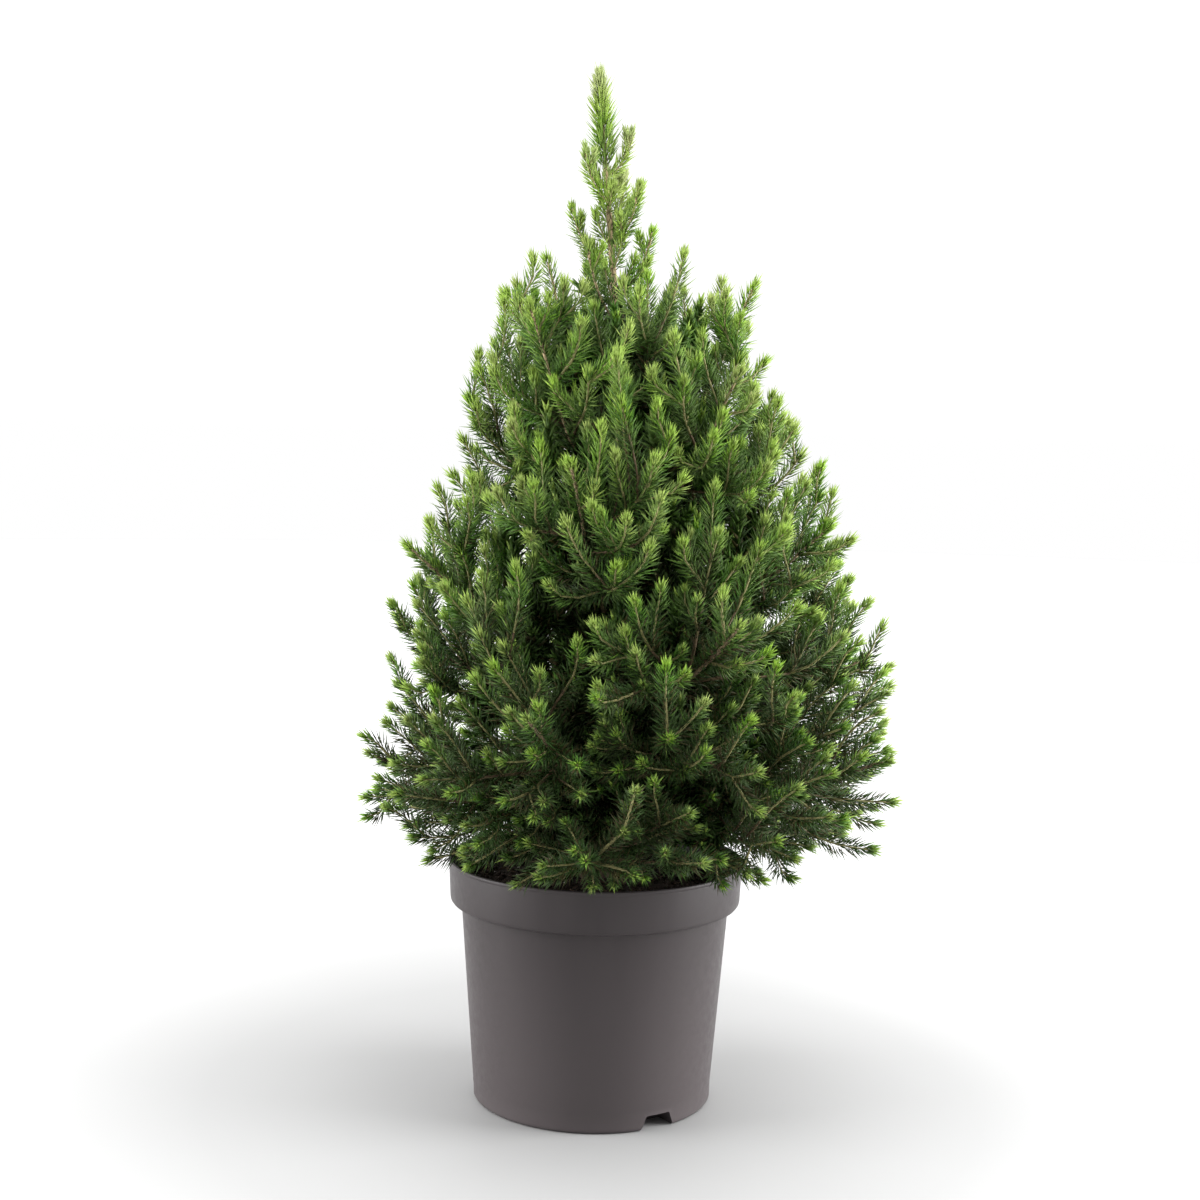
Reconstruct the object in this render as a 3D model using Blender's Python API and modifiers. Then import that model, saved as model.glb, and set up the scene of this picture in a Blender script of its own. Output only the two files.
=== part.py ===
"""A dwarf Alberta spruce in its plastic container: pot, compost, trunk, boughs and masses of needles.

Metres, +Z up, origin at the middle of the pot's underside, -Y is the front.
The crown is grown by one seeded rule. Boughs climb the trunk in a spiral and sweep out and up to the
crown's outline. Tips are dealt evenly over that outline, and a needled twig reaches each from the bough
nearest to it. A bough and its twigs make one mass, which keeps to the space that is nearer to its own
line than to any other. Short spurs and a leader clothe the top.
"""

import math
import random
from collections import namedtuple

import bmesh
import bpy
from mathutils import Matrix, Vector
from mathutils.geometry import interpolate_bezier, intersect_point_line

GAP = 0.0003
MERGE_DISTANCE = 0.00001
UP = Vector((0, 0, 1))

# Pot: a 19 cm container with a deep collar and three drain channels in its foot.
POT_HEIGHT = 0.156
RIM_RADIUS = 0.095
COLLAR_DEPTH = 0.028
COLLAR_FOOT_RADIUS = 0.0932
COLLAR_ROUND = 0.003
SHOULDER_RADIUS = 0.0862
FOOT_RADIUS = 0.0763
FOOT_BAND_HEIGHT = 0.0132
FOOT_ROUND = 0.0020
POT_WALL = 0.0016
POT_STEPS = 48
SHARP_ANGLE = math.radians(30)
CHANNELS = 3
CHANNEL_AZIMUTH = math.radians(-57)
CHANNEL_WIDTH_LOW = 0.0245
CHANNEL_WIDTH_HIGH = 0.017
CHANNEL_HEIGHT = 0.0095
CHANNEL_INNER_END = 0.060
CUTTER_OVERRUN = 0.010

# Compost, with a flat spot in its middle where the trunk stands.
SOIL_LEVEL = 0.141
SOIL_MOUND = 0.003
SOIL_FLAT_RADIUS = 0.016

# Trunk
TRUNK_FOOT = SOIL_LEVEL + SOIL_MOUND + GAP
TRUNK_RADIUS = 0.0070
TRUNK_FLARE = 0.0040
TRUNK_FLARE_HEIGHT = 0.010
TRUNK_FLARE_RINGS = (0, 0.003, 0.008)
TRUNK_FLARE_END = 0.016
TRUNK_TOP = 0.594
TRUNK_TOP_RADIUS = 0.0015
TRUNK_TAPER = 0.85
TRUNK_SWAY = 0.010
TRUNK_SWAY_BACK = 0.4
TRUNK_SWAY_TURN = 2.5
TRUNK_RINGS = 16
TRUNK_SIDES = 12
TREE_TOP = 0.655
LEADER_LEAN = -0.008
LEADER_BEND = 6

# Boughs, from the lowest to the highest
BOUGHS = 22
CROWN_SEED = 383
GOLDEN_ANGLE = math.radians(137.508)
FIRST_AZIMUTH = math.radians(134)
AZIMUTH_JITTER = math.radians(14)
LOWEST_ROOT, HIGHEST_ROOT = 0.160, 0.415
LOWEST_TIP, HIGHEST_TIP = 0.178, 0.542
TIP_CROWDING = 1.1
ROOT_CROWDING = 1.3
OUTLINE_HEIGHTS = (0.17, 0.22, 0.28, 0.34, 0.40, 0.47, 0.54)
OUTLINE_RADII = (0.160, 0.172, 0.168, 0.148, 0.124, 0.096, 0.072)
REACH_JITTER = 0.07
CROWN_DRIFT = 0.018
LOWEST_TIP_RISE, HIGHEST_TIP_RISE = math.radians(14), math.radians(68)
ROOT_RISE = 0.35
SWEEP = 0.36
BARE_SHARE = 0.22
BOUGH_THICKNESS = 0.5
BOUGH_TAPER = 0.65
BOUGH_RINGS = 6
BOUGH_SIDES = 6
STEM_POINTS = 9
SPUR_POINTS = 6

# Spurs on the upper trunk, and the leader above it
SPURS = 12
SPUR_SEED = 348
LOWEST_SPUR, HIGHEST_SPUR = 0.425, 0.588
LONGEST_SPUR, SHORTEST_SPUR = 0.078, 0.032
LOWEST_SPUR_RISE, HIGHEST_SPUR_RISE = math.radians(48), math.radians(62)
SPUR_CURL = math.radians(20)
SPUR_THICKNESS = 0.7
SPUR_BARE = 0.1
SPUR_LEVEL = 0.014
SPUR_TWIGS = 2
LONGEST_SPUR_TWIG, SHORTEST_SPUR_TWIG = 0.030, 0.020
HIGHEST_SPUR_SCALE = 0.5
LENGTH_JITTER = 0.15
TWIG_SEED = 100
TWIG_ANGLE = math.radians(40)
TWIG_RISE = 0.45
MOST_DROOP = 0.3
LEADER_SIDES = 4
LEADER_LEVEL = 0.012
LEADER_REACH = 0.006

# Tips dealt over the crown's outline, a little inside it, with a direction that is steeper higher up
TWIG_TIPS = 220
TIP_SEED = 1367
LOWEST_TWIG_TIP, HIGHEST_TWIG_TIP = 0.176, 0.536
OUTLINE_RISES = tuple(math.radians(rise) for rise in (2, 17, 39, 56, 67, 73, 79))
TWIG_DEPTH = 0.93
DEPTH_JITTER = 0.09
HEIGHT_JITTER = 0.012
RISE_JITTER = math.radians(13)
ROLL_JITTER = 0.3

# The twig that reaches a tip: where it may leave its bough, and how far it may turn on the way
STEM_ROOTS = 17
FIRST_TWIG, LAST_TWIG = 0.05, 0.90
SHORTEST_TWIG = 0.022
TURNING_COST = 5.0
MOST_TURNED = 0.4
ROOT_PULL, TIP_PULL = 0.28, 0.52
TWIG_POINTS = 6
TWIG_TRIES = (1.0, 0.85, 0.7, 0.55)

# Masses: a slim core along the bough, and the needled twigs that stand out of it
CORE_SIDES = 5
CORE_RADIUS = 0.012
CORE_SWELL = 0.8
CORE_LEVEL = 0.032
TWIG_SIDES = 3
TWIG_RADIUS = 0.0018
TWIG_TIP_RADIUS = 0.0010
TWIG_BARE = 0.25
TWIG_LEVEL = 0.032
NEEDLE_REACH = 0.0115
NEEDLE_LEAN = 0.009

# Room kept free round a tooth's point, round a twig from its start to past its tip, and inside the rim
TOOTH_ROOM = 0.0006
TWIG_ROOM = 0.0035
ROOM_START, ROOM_END = 0.2, 1.15
RIM_ROOM = 0.018

Line = namedtuple("Line", "name points")


def lerp(low, high, share):
    return low + (high - low) * share


def table_value(place, places, values):
    """The value at a place, on straight lines between the listed ones."""
    for k in range(len(places) - 1):
        if place <= places[k + 1]:
            break
    share = (place - places[k]) / (places[k + 1] - places[k])
    return lerp(values[k], values[k + 1], max(0.0, min(1.0, share)))


def heading(azimuth, rise):
    return Vector((math.cos(azimuth) * math.cos(rise), math.sin(azimuth) * math.cos(rise), math.sin(rise)))


# Scene and objects


def empty_scene():
    for old in list(bpy.data.objects):
        bpy.data.objects.remove(old, do_unlink=True)


def new_collection(name):
    made = bpy.data.collections.new(name)
    bpy.context.scene.collection.children.link(made)
    return made


def paint(name, colour, roughness):
    made = bpy.data.materials.new(name)
    made.use_nodes = True
    shader = made.node_tree.nodes["Principled BSDF"]
    shader.inputs["Base Color"].default_value = (*colour, 1)
    shader.inputs["Roughness"].default_value = roughness
    made.diffuse_color = (*colour, 1)
    return made


def add_mesh(name, bm, collection, material=None):
    mesh = bpy.data.meshes.new(name)
    bm.to_mesh(mesh)
    bm.free()
    made = bpy.data.objects.new(name, mesh)
    if material:
        mesh.materials.append(material)
    collection.objects.link(made)
    return made


def hide(helper):
    helper.hide_render = True
    helper.display_type = "WIRE"


def boolean(target, operation, other, solver="EXACT"):
    """Adds a Boolean with an object or a collection."""
    modifier = target.modifiers.new(operation.lower(), "BOOLEAN")
    modifier.operation = operation
    modifier.solver = solver
    if isinstance(other, bpy.types.Collection):
        modifier.operand_type = "COLLECTION"
        modifier.collection = other
    else:
        modifier.object = other
    return modifier


def apply_modifiers(target):
    """Keeps the target's evaluated mesh and drops its modifiers."""
    graph = bpy.context.evaluated_depsgraph_get()
    mesh = bpy.data.meshes.new_from_object(target.evaluated_get(graph))
    target.modifiers.clear()
    target.data = mesh


def drop_cavities(mesh):
    """Deletes every closed surface that faces inwards, round a space that the solid shuts in."""
    bm = bmesh.new()
    bm.from_mesh(mesh)
    left = set(bm.faces)
    while left:
        shell = [left.pop()]
        for face in shell:
            near = {other for edge in face.edges for other in edge.link_faces} & left
            left -= near
            shell.extend(near)
        if sum(face.calc_center_median().dot(face.normal) * face.calc_area() for face in shell) < 0:
            bmesh.ops.delete(bm, geom=shell, context="FACES")
    bm.to_mesh(mesh)
    bm.free()


def turned(name, profile, collection, material=None):
    """A profile in the XZ plane, from the axis up the inside and down the outside, turned about Z."""
    bm = bmesh.new()
    points = [bm.verts.new((radius, 0, height)) for radius, height in profile]
    for first, second in zip(points, points[1:]):
        bm.edges.new((first, second))
    made = add_mesh(name, bm, collection, material)
    screw = made.modifiers.new("turn", "SCREW")
    screw.steps = screw.render_steps = POT_STEPS
    screw.use_merge_vertices = True
    screw.merge_threshold = MERGE_DISTANCE
    return made


# Pot and compost


def wall_radius(height):
    """Outer radius of the pot's tapering body."""
    return lerp(FOOT_RADIUS, SHOULDER_RADIUS, height / (POT_HEIGHT - COLLAR_DEPTH))


def inner_profile(inset, top):
    """The pot's inner surface, from the axis to this height, drawn in by an inset."""
    shoulder = POT_HEIGHT - COLLAR_DEPTH + POT_WALL
    floor = POT_WALL + inset
    wall = POT_WALL + inset
    collar = lerp(COLLAR_FOOT_RADIUS, RIM_RADIUS, (top - shoulder) / COLLAR_DEPTH)
    return [
        (0, floor),
        (wall_radius(floor) - wall, floor),
        (SHOULDER_RADIUS - wall, shoulder + inset),
        (COLLAR_FOOT_RADIUS - wall, shoulder + inset),
        (collar - wall, top),
    ]


def collar_corner(steps=3):
    """The rounded lower corner of the collar, from its side round to its underside."""
    foot = POT_HEIGHT - COLLAR_DEPTH
    for k in range(steps + 1):
        turn = math.pi / 2 * k / steps
        yield (
            COLLAR_FOOT_RADIUS - COLLAR_ROUND * (1 - math.cos(turn)),
            foot + COLLAR_ROUND * (1 - math.sin(turn)),
        )


def channel_prism(name, index, low, grow, collection):
    """A hidden trapezium prism along one drain channel, from a low height, grown on its sides and top."""
    bm = bmesh.new()
    bmesh.ops.create_cube(bm, size=1)
    outer = FOOT_RADIUS + CUTTER_OVERRUN
    inner = CHANNEL_INNER_END - grow
    for corner in bm.verts:
        height = CHANNEL_HEIGHT + grow if corner.co.z > 0 else low
        width = lerp(CHANNEL_WIDTH_LOW, CHANNEL_WIDTH_HIGH, height / CHANNEL_HEIGHT)
        corner.co.x = outer if corner.co.x > 0 else inner
        corner.co.y = math.copysign(width / 2 + grow, corner.co.y)
        corner.co.z = height
    made = add_mesh(f"{name}_{index}", bm, collection)
    made.rotation_euler.z = CHANNEL_AZIMUTH + math.tau * index / CHANNELS
    hide(made)
    return made


def make_pot(parts, cutters, material):
    foot = POT_HEIGHT - COLLAR_DEPTH
    band_radius = wall_radius(FOOT_BAND_HEIGHT)
    profile = [
        *inner_profile(0, POT_HEIGHT),
        (RIM_RADIUS, POT_HEIGHT),
        *collar_corner(),
        (SHOULDER_RADIUS, foot),
        (band_radius, FOOT_BAND_HEIGHT),
        (band_radius, FOOT_ROUND),
        (band_radius - FOOT_ROUND, 0),
        (0, 0),
    ]
    pot = turned("pot", profile, parts, material)
    apply_modifiers(pot)

    # Each channel's roof is a block joined on inside the wall, from which the channel is then cut.
    inside = bmesh.new()
    half_wall = POT_WALL / 2
    bmesh.ops.create_cone(
        inside,
        cap_ends=True,
        segments=POT_STEPS,
        radius1=wall_radius(0) - half_wall,
        radius2=wall_radius(foot) - half_wall,
        depth=foot,
        matrix=Matrix.Translation((0, 0, foot / 2)),
    )
    inside = add_mesh("pot_inside", inside, cutters)
    hide(inside)
    for k in range(CHANNELS):
        roof = channel_prism("channel_roof", k, half_wall, POT_WALL, cutters)
        boolean(roof, "INTERSECT", inside)
        boolean(pot, "UNION", roof)
        boolean(pot, "DIFFERENCE", channel_prism("channel", k, -CUTTER_OVERRUN, 0, cutters))
    pot.data.shade_smooth()
    pot.data.set_sharp_from_angle(angle=SHARP_ANGLE)


def make_compost(parts, cutters, material):
    middle = SOIL_LEVEL + SOIL_MOUND
    profile = [*inner_profile(GAP, SOIL_LEVEL), (SOIL_FLAT_RADIUS, middle), (0, middle)]
    compost = turned("compost", profile, parts, material)
    apply_modifiers(compost)
    for k in range(CHANNELS):
        cutter = channel_prism("compost_channel", k, 0, POT_WALL + GAP, cutters)
        boolean(compost, "DIFFERENCE", cutter)


# Lines that the tree grows along


def trunk_at(height):
    """The middle of the trunk, which sways to one side and back under a leader that leans the other way."""
    share = (height - TRUNK_FOOT) / (TREE_TOP - TRUNK_FOOT)
    sway = TRUNK_SWAY * math.sin(math.pi * share) ** 2
    lean = LEADER_LEAN * max(0.0, share) ** LEADER_BEND
    return Vector((sway + lean, TRUNK_SWAY_BACK * sway * math.cos(TRUNK_SWAY_TURN * share), height))


def trunk_radius(height):
    share = (height - TRUNK_FOOT) / (TRUNK_TOP - TRUNK_FOOT)
    flare = TRUNK_FLARE * math.exp(-(height - TRUNK_FOOT) / TRUNK_FLARE_HEIGHT)
    return lerp(TRUNK_RADIUS, TRUNK_TOP_RADIUS, share**TRUNK_TAPER) + flare


def swept_line(name, root, tip, azimuth, rise, samples=10):
    """A line that leaves its root more level than it reaches its tip, where it has the given rise."""
    pull = SWEEP * (tip - root).length
    first = root + heading(azimuth, ROOT_RISE * rise) * pull
    second = tip - heading(azimuth, rise) * pull
    return Line(name, interpolate_bezier(root, first, second, tip, samples))


def bough_lines():
    seeded = random.Random(CROWN_SEED)
    for k in range(BOUGHS):
        share = k / (BOUGHS - 1)
        azimuth = FIRST_AZIMUTH + k * GOLDEN_ANGLE + seeded.uniform(-AZIMUTH_JITTER, AZIMUTH_JITTER)
        tip_height = lerp(LOWEST_TIP, HIGHEST_TIP, share**TIP_CROWDING)
        reach = table_value(tip_height, OUTLINE_HEIGHTS, OUTLINE_RADII)
        reach *= 1 + seeded.uniform(-REACH_JITTER, REACH_JITTER)
        root = trunk_at(lerp(LOWEST_ROOT, HIGHEST_ROOT, share**ROOT_CROWDING))
        drift = CROWN_DRIFT * (1 - share**2)
        tip = Vector((root.x + drift, root.y, tip_height)) + heading(azimuth, 0) * reach
        rise = lerp(LOWEST_TIP_RISE, HIGHEST_TIP_RISE, share)
        yield swept_line(f"{k + 1:02d}", root, tip, azimuth, rise)


def spur_lines():
    seeded = random.Random(SPUR_SEED)
    for k in range(SPURS):
        share = k / (SPURS - 1)
        azimuth = FIRST_AZIMUTH + (BOUGHS + k) * GOLDEN_ANGLE
        azimuth += seeded.uniform(-AZIMUTH_JITTER, AZIMUTH_JITTER)
        rise = lerp(LOWEST_SPUR_RISE, HIGHEST_SPUR_RISE, share)
        root = trunk_at(lerp(LOWEST_SPUR, HIGHEST_SPUR, share))
        tip = root + heading(azimuth, rise) * lerp(LONGEST_SPUR, SHORTEST_SPUR, share)
        yield swept_line(f"{k + 1:02d}", root, tip, azimuth, rise + SPUR_CURL, samples=6)


def leader_line():
    steps = 5
    heights = [lerp(TRUNK_TOP, TREE_TOP - NEEDLE_LEAN, k / (steps - 1)) for k in range(steps)]
    return Line("leader", [trunk_at(height) for height in heights])


# Measures along and between lines


def place_on(points, share):
    """(point, direction) at a share of a line's length. Past either end it runs straight on."""
    lengths = [(b - a).length for a, b in zip(points, points[1:])]
    left = share * sum(lengths)
    for k, length in enumerate(lengths):
        if left <= length or k == len(lengths) - 1:
            break
        left -= length
    direction = (points[k + 1] - points[k]).normalized()
    return points[k] + direction * left, direction


def line_length(points):
    return sum((b - a).length for a, b in zip(points, points[1:]))


def part_of(points, start, end, samples):
    """The stretch of a line between two shares of its length."""
    return [place_on(points, lerp(start, end, k / (samples - 1)))[0] for k in range(samples)]


def distance_to(place, points):
    """How far a place is from a line."""
    nearest = math.inf
    for a, b in zip(points, points[1:]):
        _, share = intersect_point_line(place, a, b)
        nearest = min(nearest, (a.lerp(b, max(0.0, min(1.0, share))) - place).length)
    return nearest


def clear_of_pot(place, reach):
    """Whether a ball of this radius stays over the rim or, well inside it, over the compost."""
    out = math.hypot(place.x, place.y)
    floor = SOIL_LEVEL + SOIL_MOUND if out + reach < RIM_RADIUS - RIM_ROOM else POT_HEIGHT
    return place.z - reach > floor + GAP


def clear_of_trunk(place, reach):
    height = max(TRUNK_FOOT, min(TRUNK_TOP, place.z))
    return (place - trunk_at(height)).length > reach + trunk_radius(height) + GAP


def own_space(own, others):
    """A test: is a ball of this radius nearer to its own line than to any other, and off pot and trunk?"""

    def fits(place, reach):
        if not (clear_of_pot(place, reach) and clear_of_trunk(place, reach)):
            return False
        limit = distance_to(place, own.points) + 2 * reach + GAP
        return all(distance_to(place, other.points) > limit for other in others)

    return fits


def has_room(twig, fits):
    """Whether a twig and its needles keep to its mass's space."""
    return all(fits(place, TWIG_ROOM) for place in part_of(twig, ROOM_START, ROOM_END, TWIG_POINTS))


# Twigs of the boughs


def crown_middle(height):
    """The axis of the crown, which drifts to one side below."""
    share = (height - LOWEST_TIP) / (HIGHEST_TIP - LOWEST_TIP)
    return trunk_at(height) + Vector((CROWN_DRIFT * (1 - max(0.0, min(1.0, share)) ** 2), 0, 0))


def crown_tips():
    """(place, direction) of tips dealt evenly over the crown's outline."""
    seeded = random.Random(TIP_SEED)
    low, high = OUTLINE_RADII[0], OUTLINE_RADII[-1]
    for k in range(TWIG_TIPS):
        evenly = (k + 0.5) / TWIG_TIPS
        share = (low - math.sqrt(low**2 - (low**2 - high**2) * evenly)) / (low - high)
        height = lerp(LOWEST_TWIG_TIP, HIGHEST_TWIG_TIP, share)
        azimuth = TIP_SEED + k * GOLDEN_ANGLE + seeded.uniform(-ROLL_JITTER, ROLL_JITTER)
        reach = table_value(height, OUTLINE_HEIGHTS, OUTLINE_RADII) * TWIG_DEPTH
        reach *= 1 + seeded.uniform(-DEPTH_JITTER, DEPTH_JITTER)
        rise = table_value(height, OUTLINE_HEIGHTS, OUTLINE_RISES)
        rise += seeded.uniform(-RISE_JITTER, RISE_JITTER)
        tip = crown_middle(height) + heading(azimuth, 0) * reach
        tip.z += seeded.uniform(-HEIGHT_JITTER, HEIGHT_JITTER) * share
        yield tip, heading(azimuth, rise)


def best_root(stem, tip, direction):
    """Where a twig best leaves a stem to reach a tip: near it, and behind its direction."""
    best = None
    lowest_cost = math.inf
    for k in range(STEM_ROOTS):
        root, along = place_on(stem, lerp(FIRST_TWIG, LAST_TWIG, k / (STEM_ROOTS - 1)))
        length = (tip - root).length
        turned = 1 - (tip - root).dot(direction) / length
        cost = length * (1 + TURNING_COST * turned)
        if length > SHORTEST_TWIG and cost < lowest_cost:
            best = root, along, turned
            lowest_cost = cost
    return best


def reaching_twig(root, along, tip, direction):
    """A twig that leaves a stem forwards and reaches a tip with this direction there."""
    length = (tip - root).length
    start = (along + (tip - root) / length).normalized()
    first = root + start * ROOT_PULL * length
    second = tip - direction * TIP_PULL * length
    return interpolate_bezier(root, first, second, tip, TWIG_POINTS)


def bough_twigs(boughs, others):
    """The side twigs of each bough's mass. One that would leave its space is tried shorter, then skipped."""
    lines = [*boughs, *others]
    fits = [own_space(own, [line for line in lines if line is not own]) for own in boughs]
    twigs = [[] for own in boughs]
    for tip, direction in crown_tips():
        distances = [distance_to(tip, line.points) for line in lines]
        index = distances.index(min(distances))
        if index >= len(boughs):
            continue
        root, along, turned = best_root(bough_stem(boughs[index]), tip, direction)
        if turned > MOST_TURNED:
            continue
        for shorter in TWIG_TRIES:
            line = reaching_twig(root, along, root.lerp(tip, shorter), direction)
            if has_room(line, fits[index]):
                twigs[index].append(line)
                break
    return twigs


# Masses of needles


def brush(points, sides, radius, level_length, bare, reach, fits):
    """A tube bent along a line, with a tooth of needles on each side of each level past its bare share.

    radius(share) is the tube's own radius. A tooth that doesn't fit is left out.
    """
    length = line_length(points)
    levels = max(2, round(length / level_length))
    bm = bmesh.new()
    middle = Matrix.Translation((0, 0, 0.5))
    bmesh.ops.create_cone(bm, cap_ends=True, segments=sides, radius1=1, radius2=1, depth=1, matrix=middle)
    for level in range(1, levels):
        everything = [*bm.verts, *bm.edges, *bm.faces]
        bmesh.ops.bisect_plane(bm, geom=everything, plane_co=(0, 0, level / levels), plane_no=UP)
    ends = [face for face in bm.faces if abs(face.normal.z) > 0.5]
    clothed = [face for face in bm.faces if face not in ends and face.calc_center_median().z > bare]
    top = max(ends, key=lambda face: face.calc_center_median().z)
    teeth = set(bmesh.ops.poke(bm, faces=clothed)["verts"])
    bud = bmesh.ops.poke(bm, faces=[top])["verts"][0]
    chord = (points[-1] - points[0]).normalized()
    across = chord.to_track_quat("Z", "Y")
    for corner in bm.verts:
        share = corner.co.z
        out = Vector((corner.co.x, corner.co.y, 0)) * radius(share)
        out.rotate(Matrix.Rotation(math.pi / sides * levels * share, 3, "Z"))
        if corner in teeth:
            out += out.normalized() * reach
        if corner in teeth or corner is bud:
            share += NEEDLE_LEAN / length
        place, direction = place_on(points, share)
        corner.co = place + chord.rotation_difference(direction) @ across @ out
    bmesh.ops.dissolve_verts(bm, verts=[tooth for tooth in teeth if not fits(tooth.co, TOOTH_ROOM)])
    return bm


def spur_twig(stem, share, roll, length):
    """A twig that leaves a stem at this share of it, turned about it by roll, and rises towards its tip."""
    root, along = place_on(stem, share)
    level = along.cross(UP).normalized()
    upward = level.cross(along)
    side = level * math.cos(roll) + upward * math.sin(roll)
    if side.z < -MOST_DROOP:
        side -= 2 * side.dot(upward) * upward
    start = along * math.cos(TWIG_ANGLE) + side * math.sin(TWIG_ANGLE)
    end = (start + UP * TWIG_RISE).normalized()
    middle = root + start * length / 2
    return [root, middle, middle + end * length / 2]


def spur_twigs(stem, scale, fits, seed):
    """The side twigs of a spur. One that would leave the spur's space is tried shorter, then skipped."""
    seeded = random.Random(seed)
    for k in range(SPUR_TWIGS):
        share = lerp(FIRST_TWIG, LAST_TWIG, (k + 0.5) / SPUR_TWIGS)
        roll = k * GOLDEN_ANGLE + seeded.uniform(-ROLL_JITTER, ROLL_JITTER)
        wanted = lerp(LONGEST_SPUR_TWIG, SHORTEST_SPUR_TWIG, share) * scale
        wanted *= 1 + seeded.uniform(-LENGTH_JITTER, LENGTH_JITTER)
        for shorter in TWIG_TRIES:
            line = spur_twig(stem, share, roll, wanted * shorter)
            if has_room(line, fits):
                yield line
                break


def make_mass(name, core, twigs, fits, parts, sprays, material):
    """One mass: a core and its side twigs, each with teeth of needles, joined into one solid."""
    mass = add_mesh(name, core, parts, material)
    for k, line in enumerate(twigs):
        twig = brush(line, TWIG_SIDES, twig_radius, TWIG_LEVEL, TWIG_BARE, NEEDLE_REACH, fits)
        add_mesh(f"{name}_twig_{k}", twig, sprays)
    if sprays.objects:
        boolean(mass, "UNION", sprays, "MANIFOLD")
        apply_modifiers(mass)
        drop_cavities(mass.data)
        for twig in list(sprays.objects):
            bpy.data.objects.remove(twig, do_unlink=True)
    return mass


def twig_radius(share):
    return lerp(TWIG_RADIUS, TWIG_TIP_RADIUS, share)


def core_shape(stem, root_radius, others):
    """A core swells towards its middle as far as its neighbours leave room, and ends as thin as a twig."""

    def radius(share):
        place = place_on(stem, share)[0]
        between = min(distance_to(place, other.points) for other in others) / 2
        bulge = CORE_RADIUS * math.sin(math.pi * share**CORE_SWELL)
        wanted = lerp(root_radius, TWIG_TIP_RADIUS, share) + bulge
        return min(wanted, between - 2 * GAP, place.z - POT_HEIGHT - 2 * GAP)

    return radius


# Trunk and boughs


def limb_mesh(points, radii, sides):
    """A closed tapering tube along points, made as a curve and turned into a mesh."""
    curve = bpy.data.curves.new("limb", "CURVE")
    curve.dimensions = "3D"
    curve.bevel_depth = 1
    curve.bevel_resolution = sides // 2 - 2
    curve.use_fill_caps = True
    spline = curve.splines.new("POLY")
    spline.points.add(len(points) - 1)
    for knot, place, radius in zip(spline.points, points, radii):
        knot.co = (*place, 1)
        knot.radius = radius
    holder = bpy.data.objects.new("limb", curve)
    bpy.context.scene.collection.objects.link(holder)
    graph = bpy.context.evaluated_depsgraph_get()
    mesh = bpy.data.meshes.new_from_object(holder.evaluated_get(graph))
    bpy.data.objects.remove(holder, do_unlink=True)
    bm = bmesh.new()
    bm.from_mesh(mesh)
    bmesh.ops.remove_doubles(bm, verts=bm.verts, dist=MERGE_DISTANCE)
    bmesh.ops.recalc_face_normals(bm, faces=bm.faces)
    return bm


def trunk_mesh(margin=0):
    heights = [TRUNK_FOOT + ring for ring in TRUNK_FLARE_RINGS]
    above = TRUNK_FOOT + TRUNK_FLARE_END
    heights += [lerp(above, TRUNK_TOP, k / (TRUNK_RINGS - 1)) for k in range(TRUNK_RINGS)]
    points = [trunk_at(height) for height in heights]
    radii = [trunk_radius(height) + margin for height in heights]
    return limb_mesh(points, radii, TRUNK_SIDES)


def bough_radius(line):
    """A bough's radius where it leaves the trunk, from the trunk's own."""
    return BOUGH_THICKNESS * trunk_radius(line.points[0].z)


def make_bough(line, parts, trunk_clearance, material):
    """The bare inner part of a bough, cut clear of the trunk."""
    points = part_of(line.points, 0, BARE_SHARE, BOUGH_RINGS)
    root = bough_radius(line)
    radii = [lerp(root, root * BOUGH_TAPER, k / (BOUGH_RINGS - 1)) for k in range(BOUGH_RINGS)]
    bough = add_mesh(f"bough_{line.name}", limb_mesh(points, radii, BOUGH_SIDES), parts, material)
    boolean(bough, "DIFFERENCE", trunk_clearance)
    return bough


def bough_stem(line):
    """The clothed outer part of a bough, a gap beyond its bare part."""
    return part_of(line.points, BARE_SHARE + GAP / line_length(line.points), 1, STEM_POINTS)


def make_bough_mass(own, others, twigs, parts, sprays, material):
    """The mass that one bough carries from the end of its bare part to its tip."""
    fits = own_space(own, others)
    stem = bough_stem(own)
    radius = core_shape(stem, bough_radius(own) * BOUGH_TAPER, others)
    core = brush(stem, CORE_SIDES, radius, CORE_LEVEL, 0, NEEDLE_REACH, fits)
    make_mass(f"mass_{own.name}", core, twigs, fits, parts, sprays, material)


def make_spur(k, own, others, parts, sprays, trunk_clearance, material):
    """A small mass that grows from the trunk itself, and is cut clear of it."""
    fits = own_space(own, others)
    thickness = trunk_radius(own.points[0].z)
    stem = part_of(own.points, thickness / 2 / line_length(own.points), 1, SPUR_POINTS)
    share = k / (SPURS - 1)

    def radius(along):
        return lerp(SPUR_THICKNESS * thickness, TWIG_TIP_RADIUS, along)

    reach = lerp(NEEDLE_REACH, LEADER_REACH, share)
    core = brush(stem, TWIG_SIDES, radius, SPUR_LEVEL, SPUR_BARE, reach, fits)
    twigs = spur_twigs(stem, lerp(1, HIGHEST_SPUR_SCALE, share), fits, TWIG_SEED + BOUGHS + k)
    spur = make_mass(f"spur_{own.name}", core, twigs, fits, parts, sprays, material)
    boolean(spur, "DIFFERENCE", trunk_clearance, "MANIFOLD")


def make_leader(own, others, parts, sprays, material):
    fits = own_space(own, others)
    stem = [own.points[0] + UP * GAP, *own.points[1:]]
    core = brush(stem, LEADER_SIDES, twig_radius, LEADER_LEVEL, 0, LEADER_REACH, fits)
    make_mass("leader", core, [], fits, parts, sprays, material)


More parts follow.
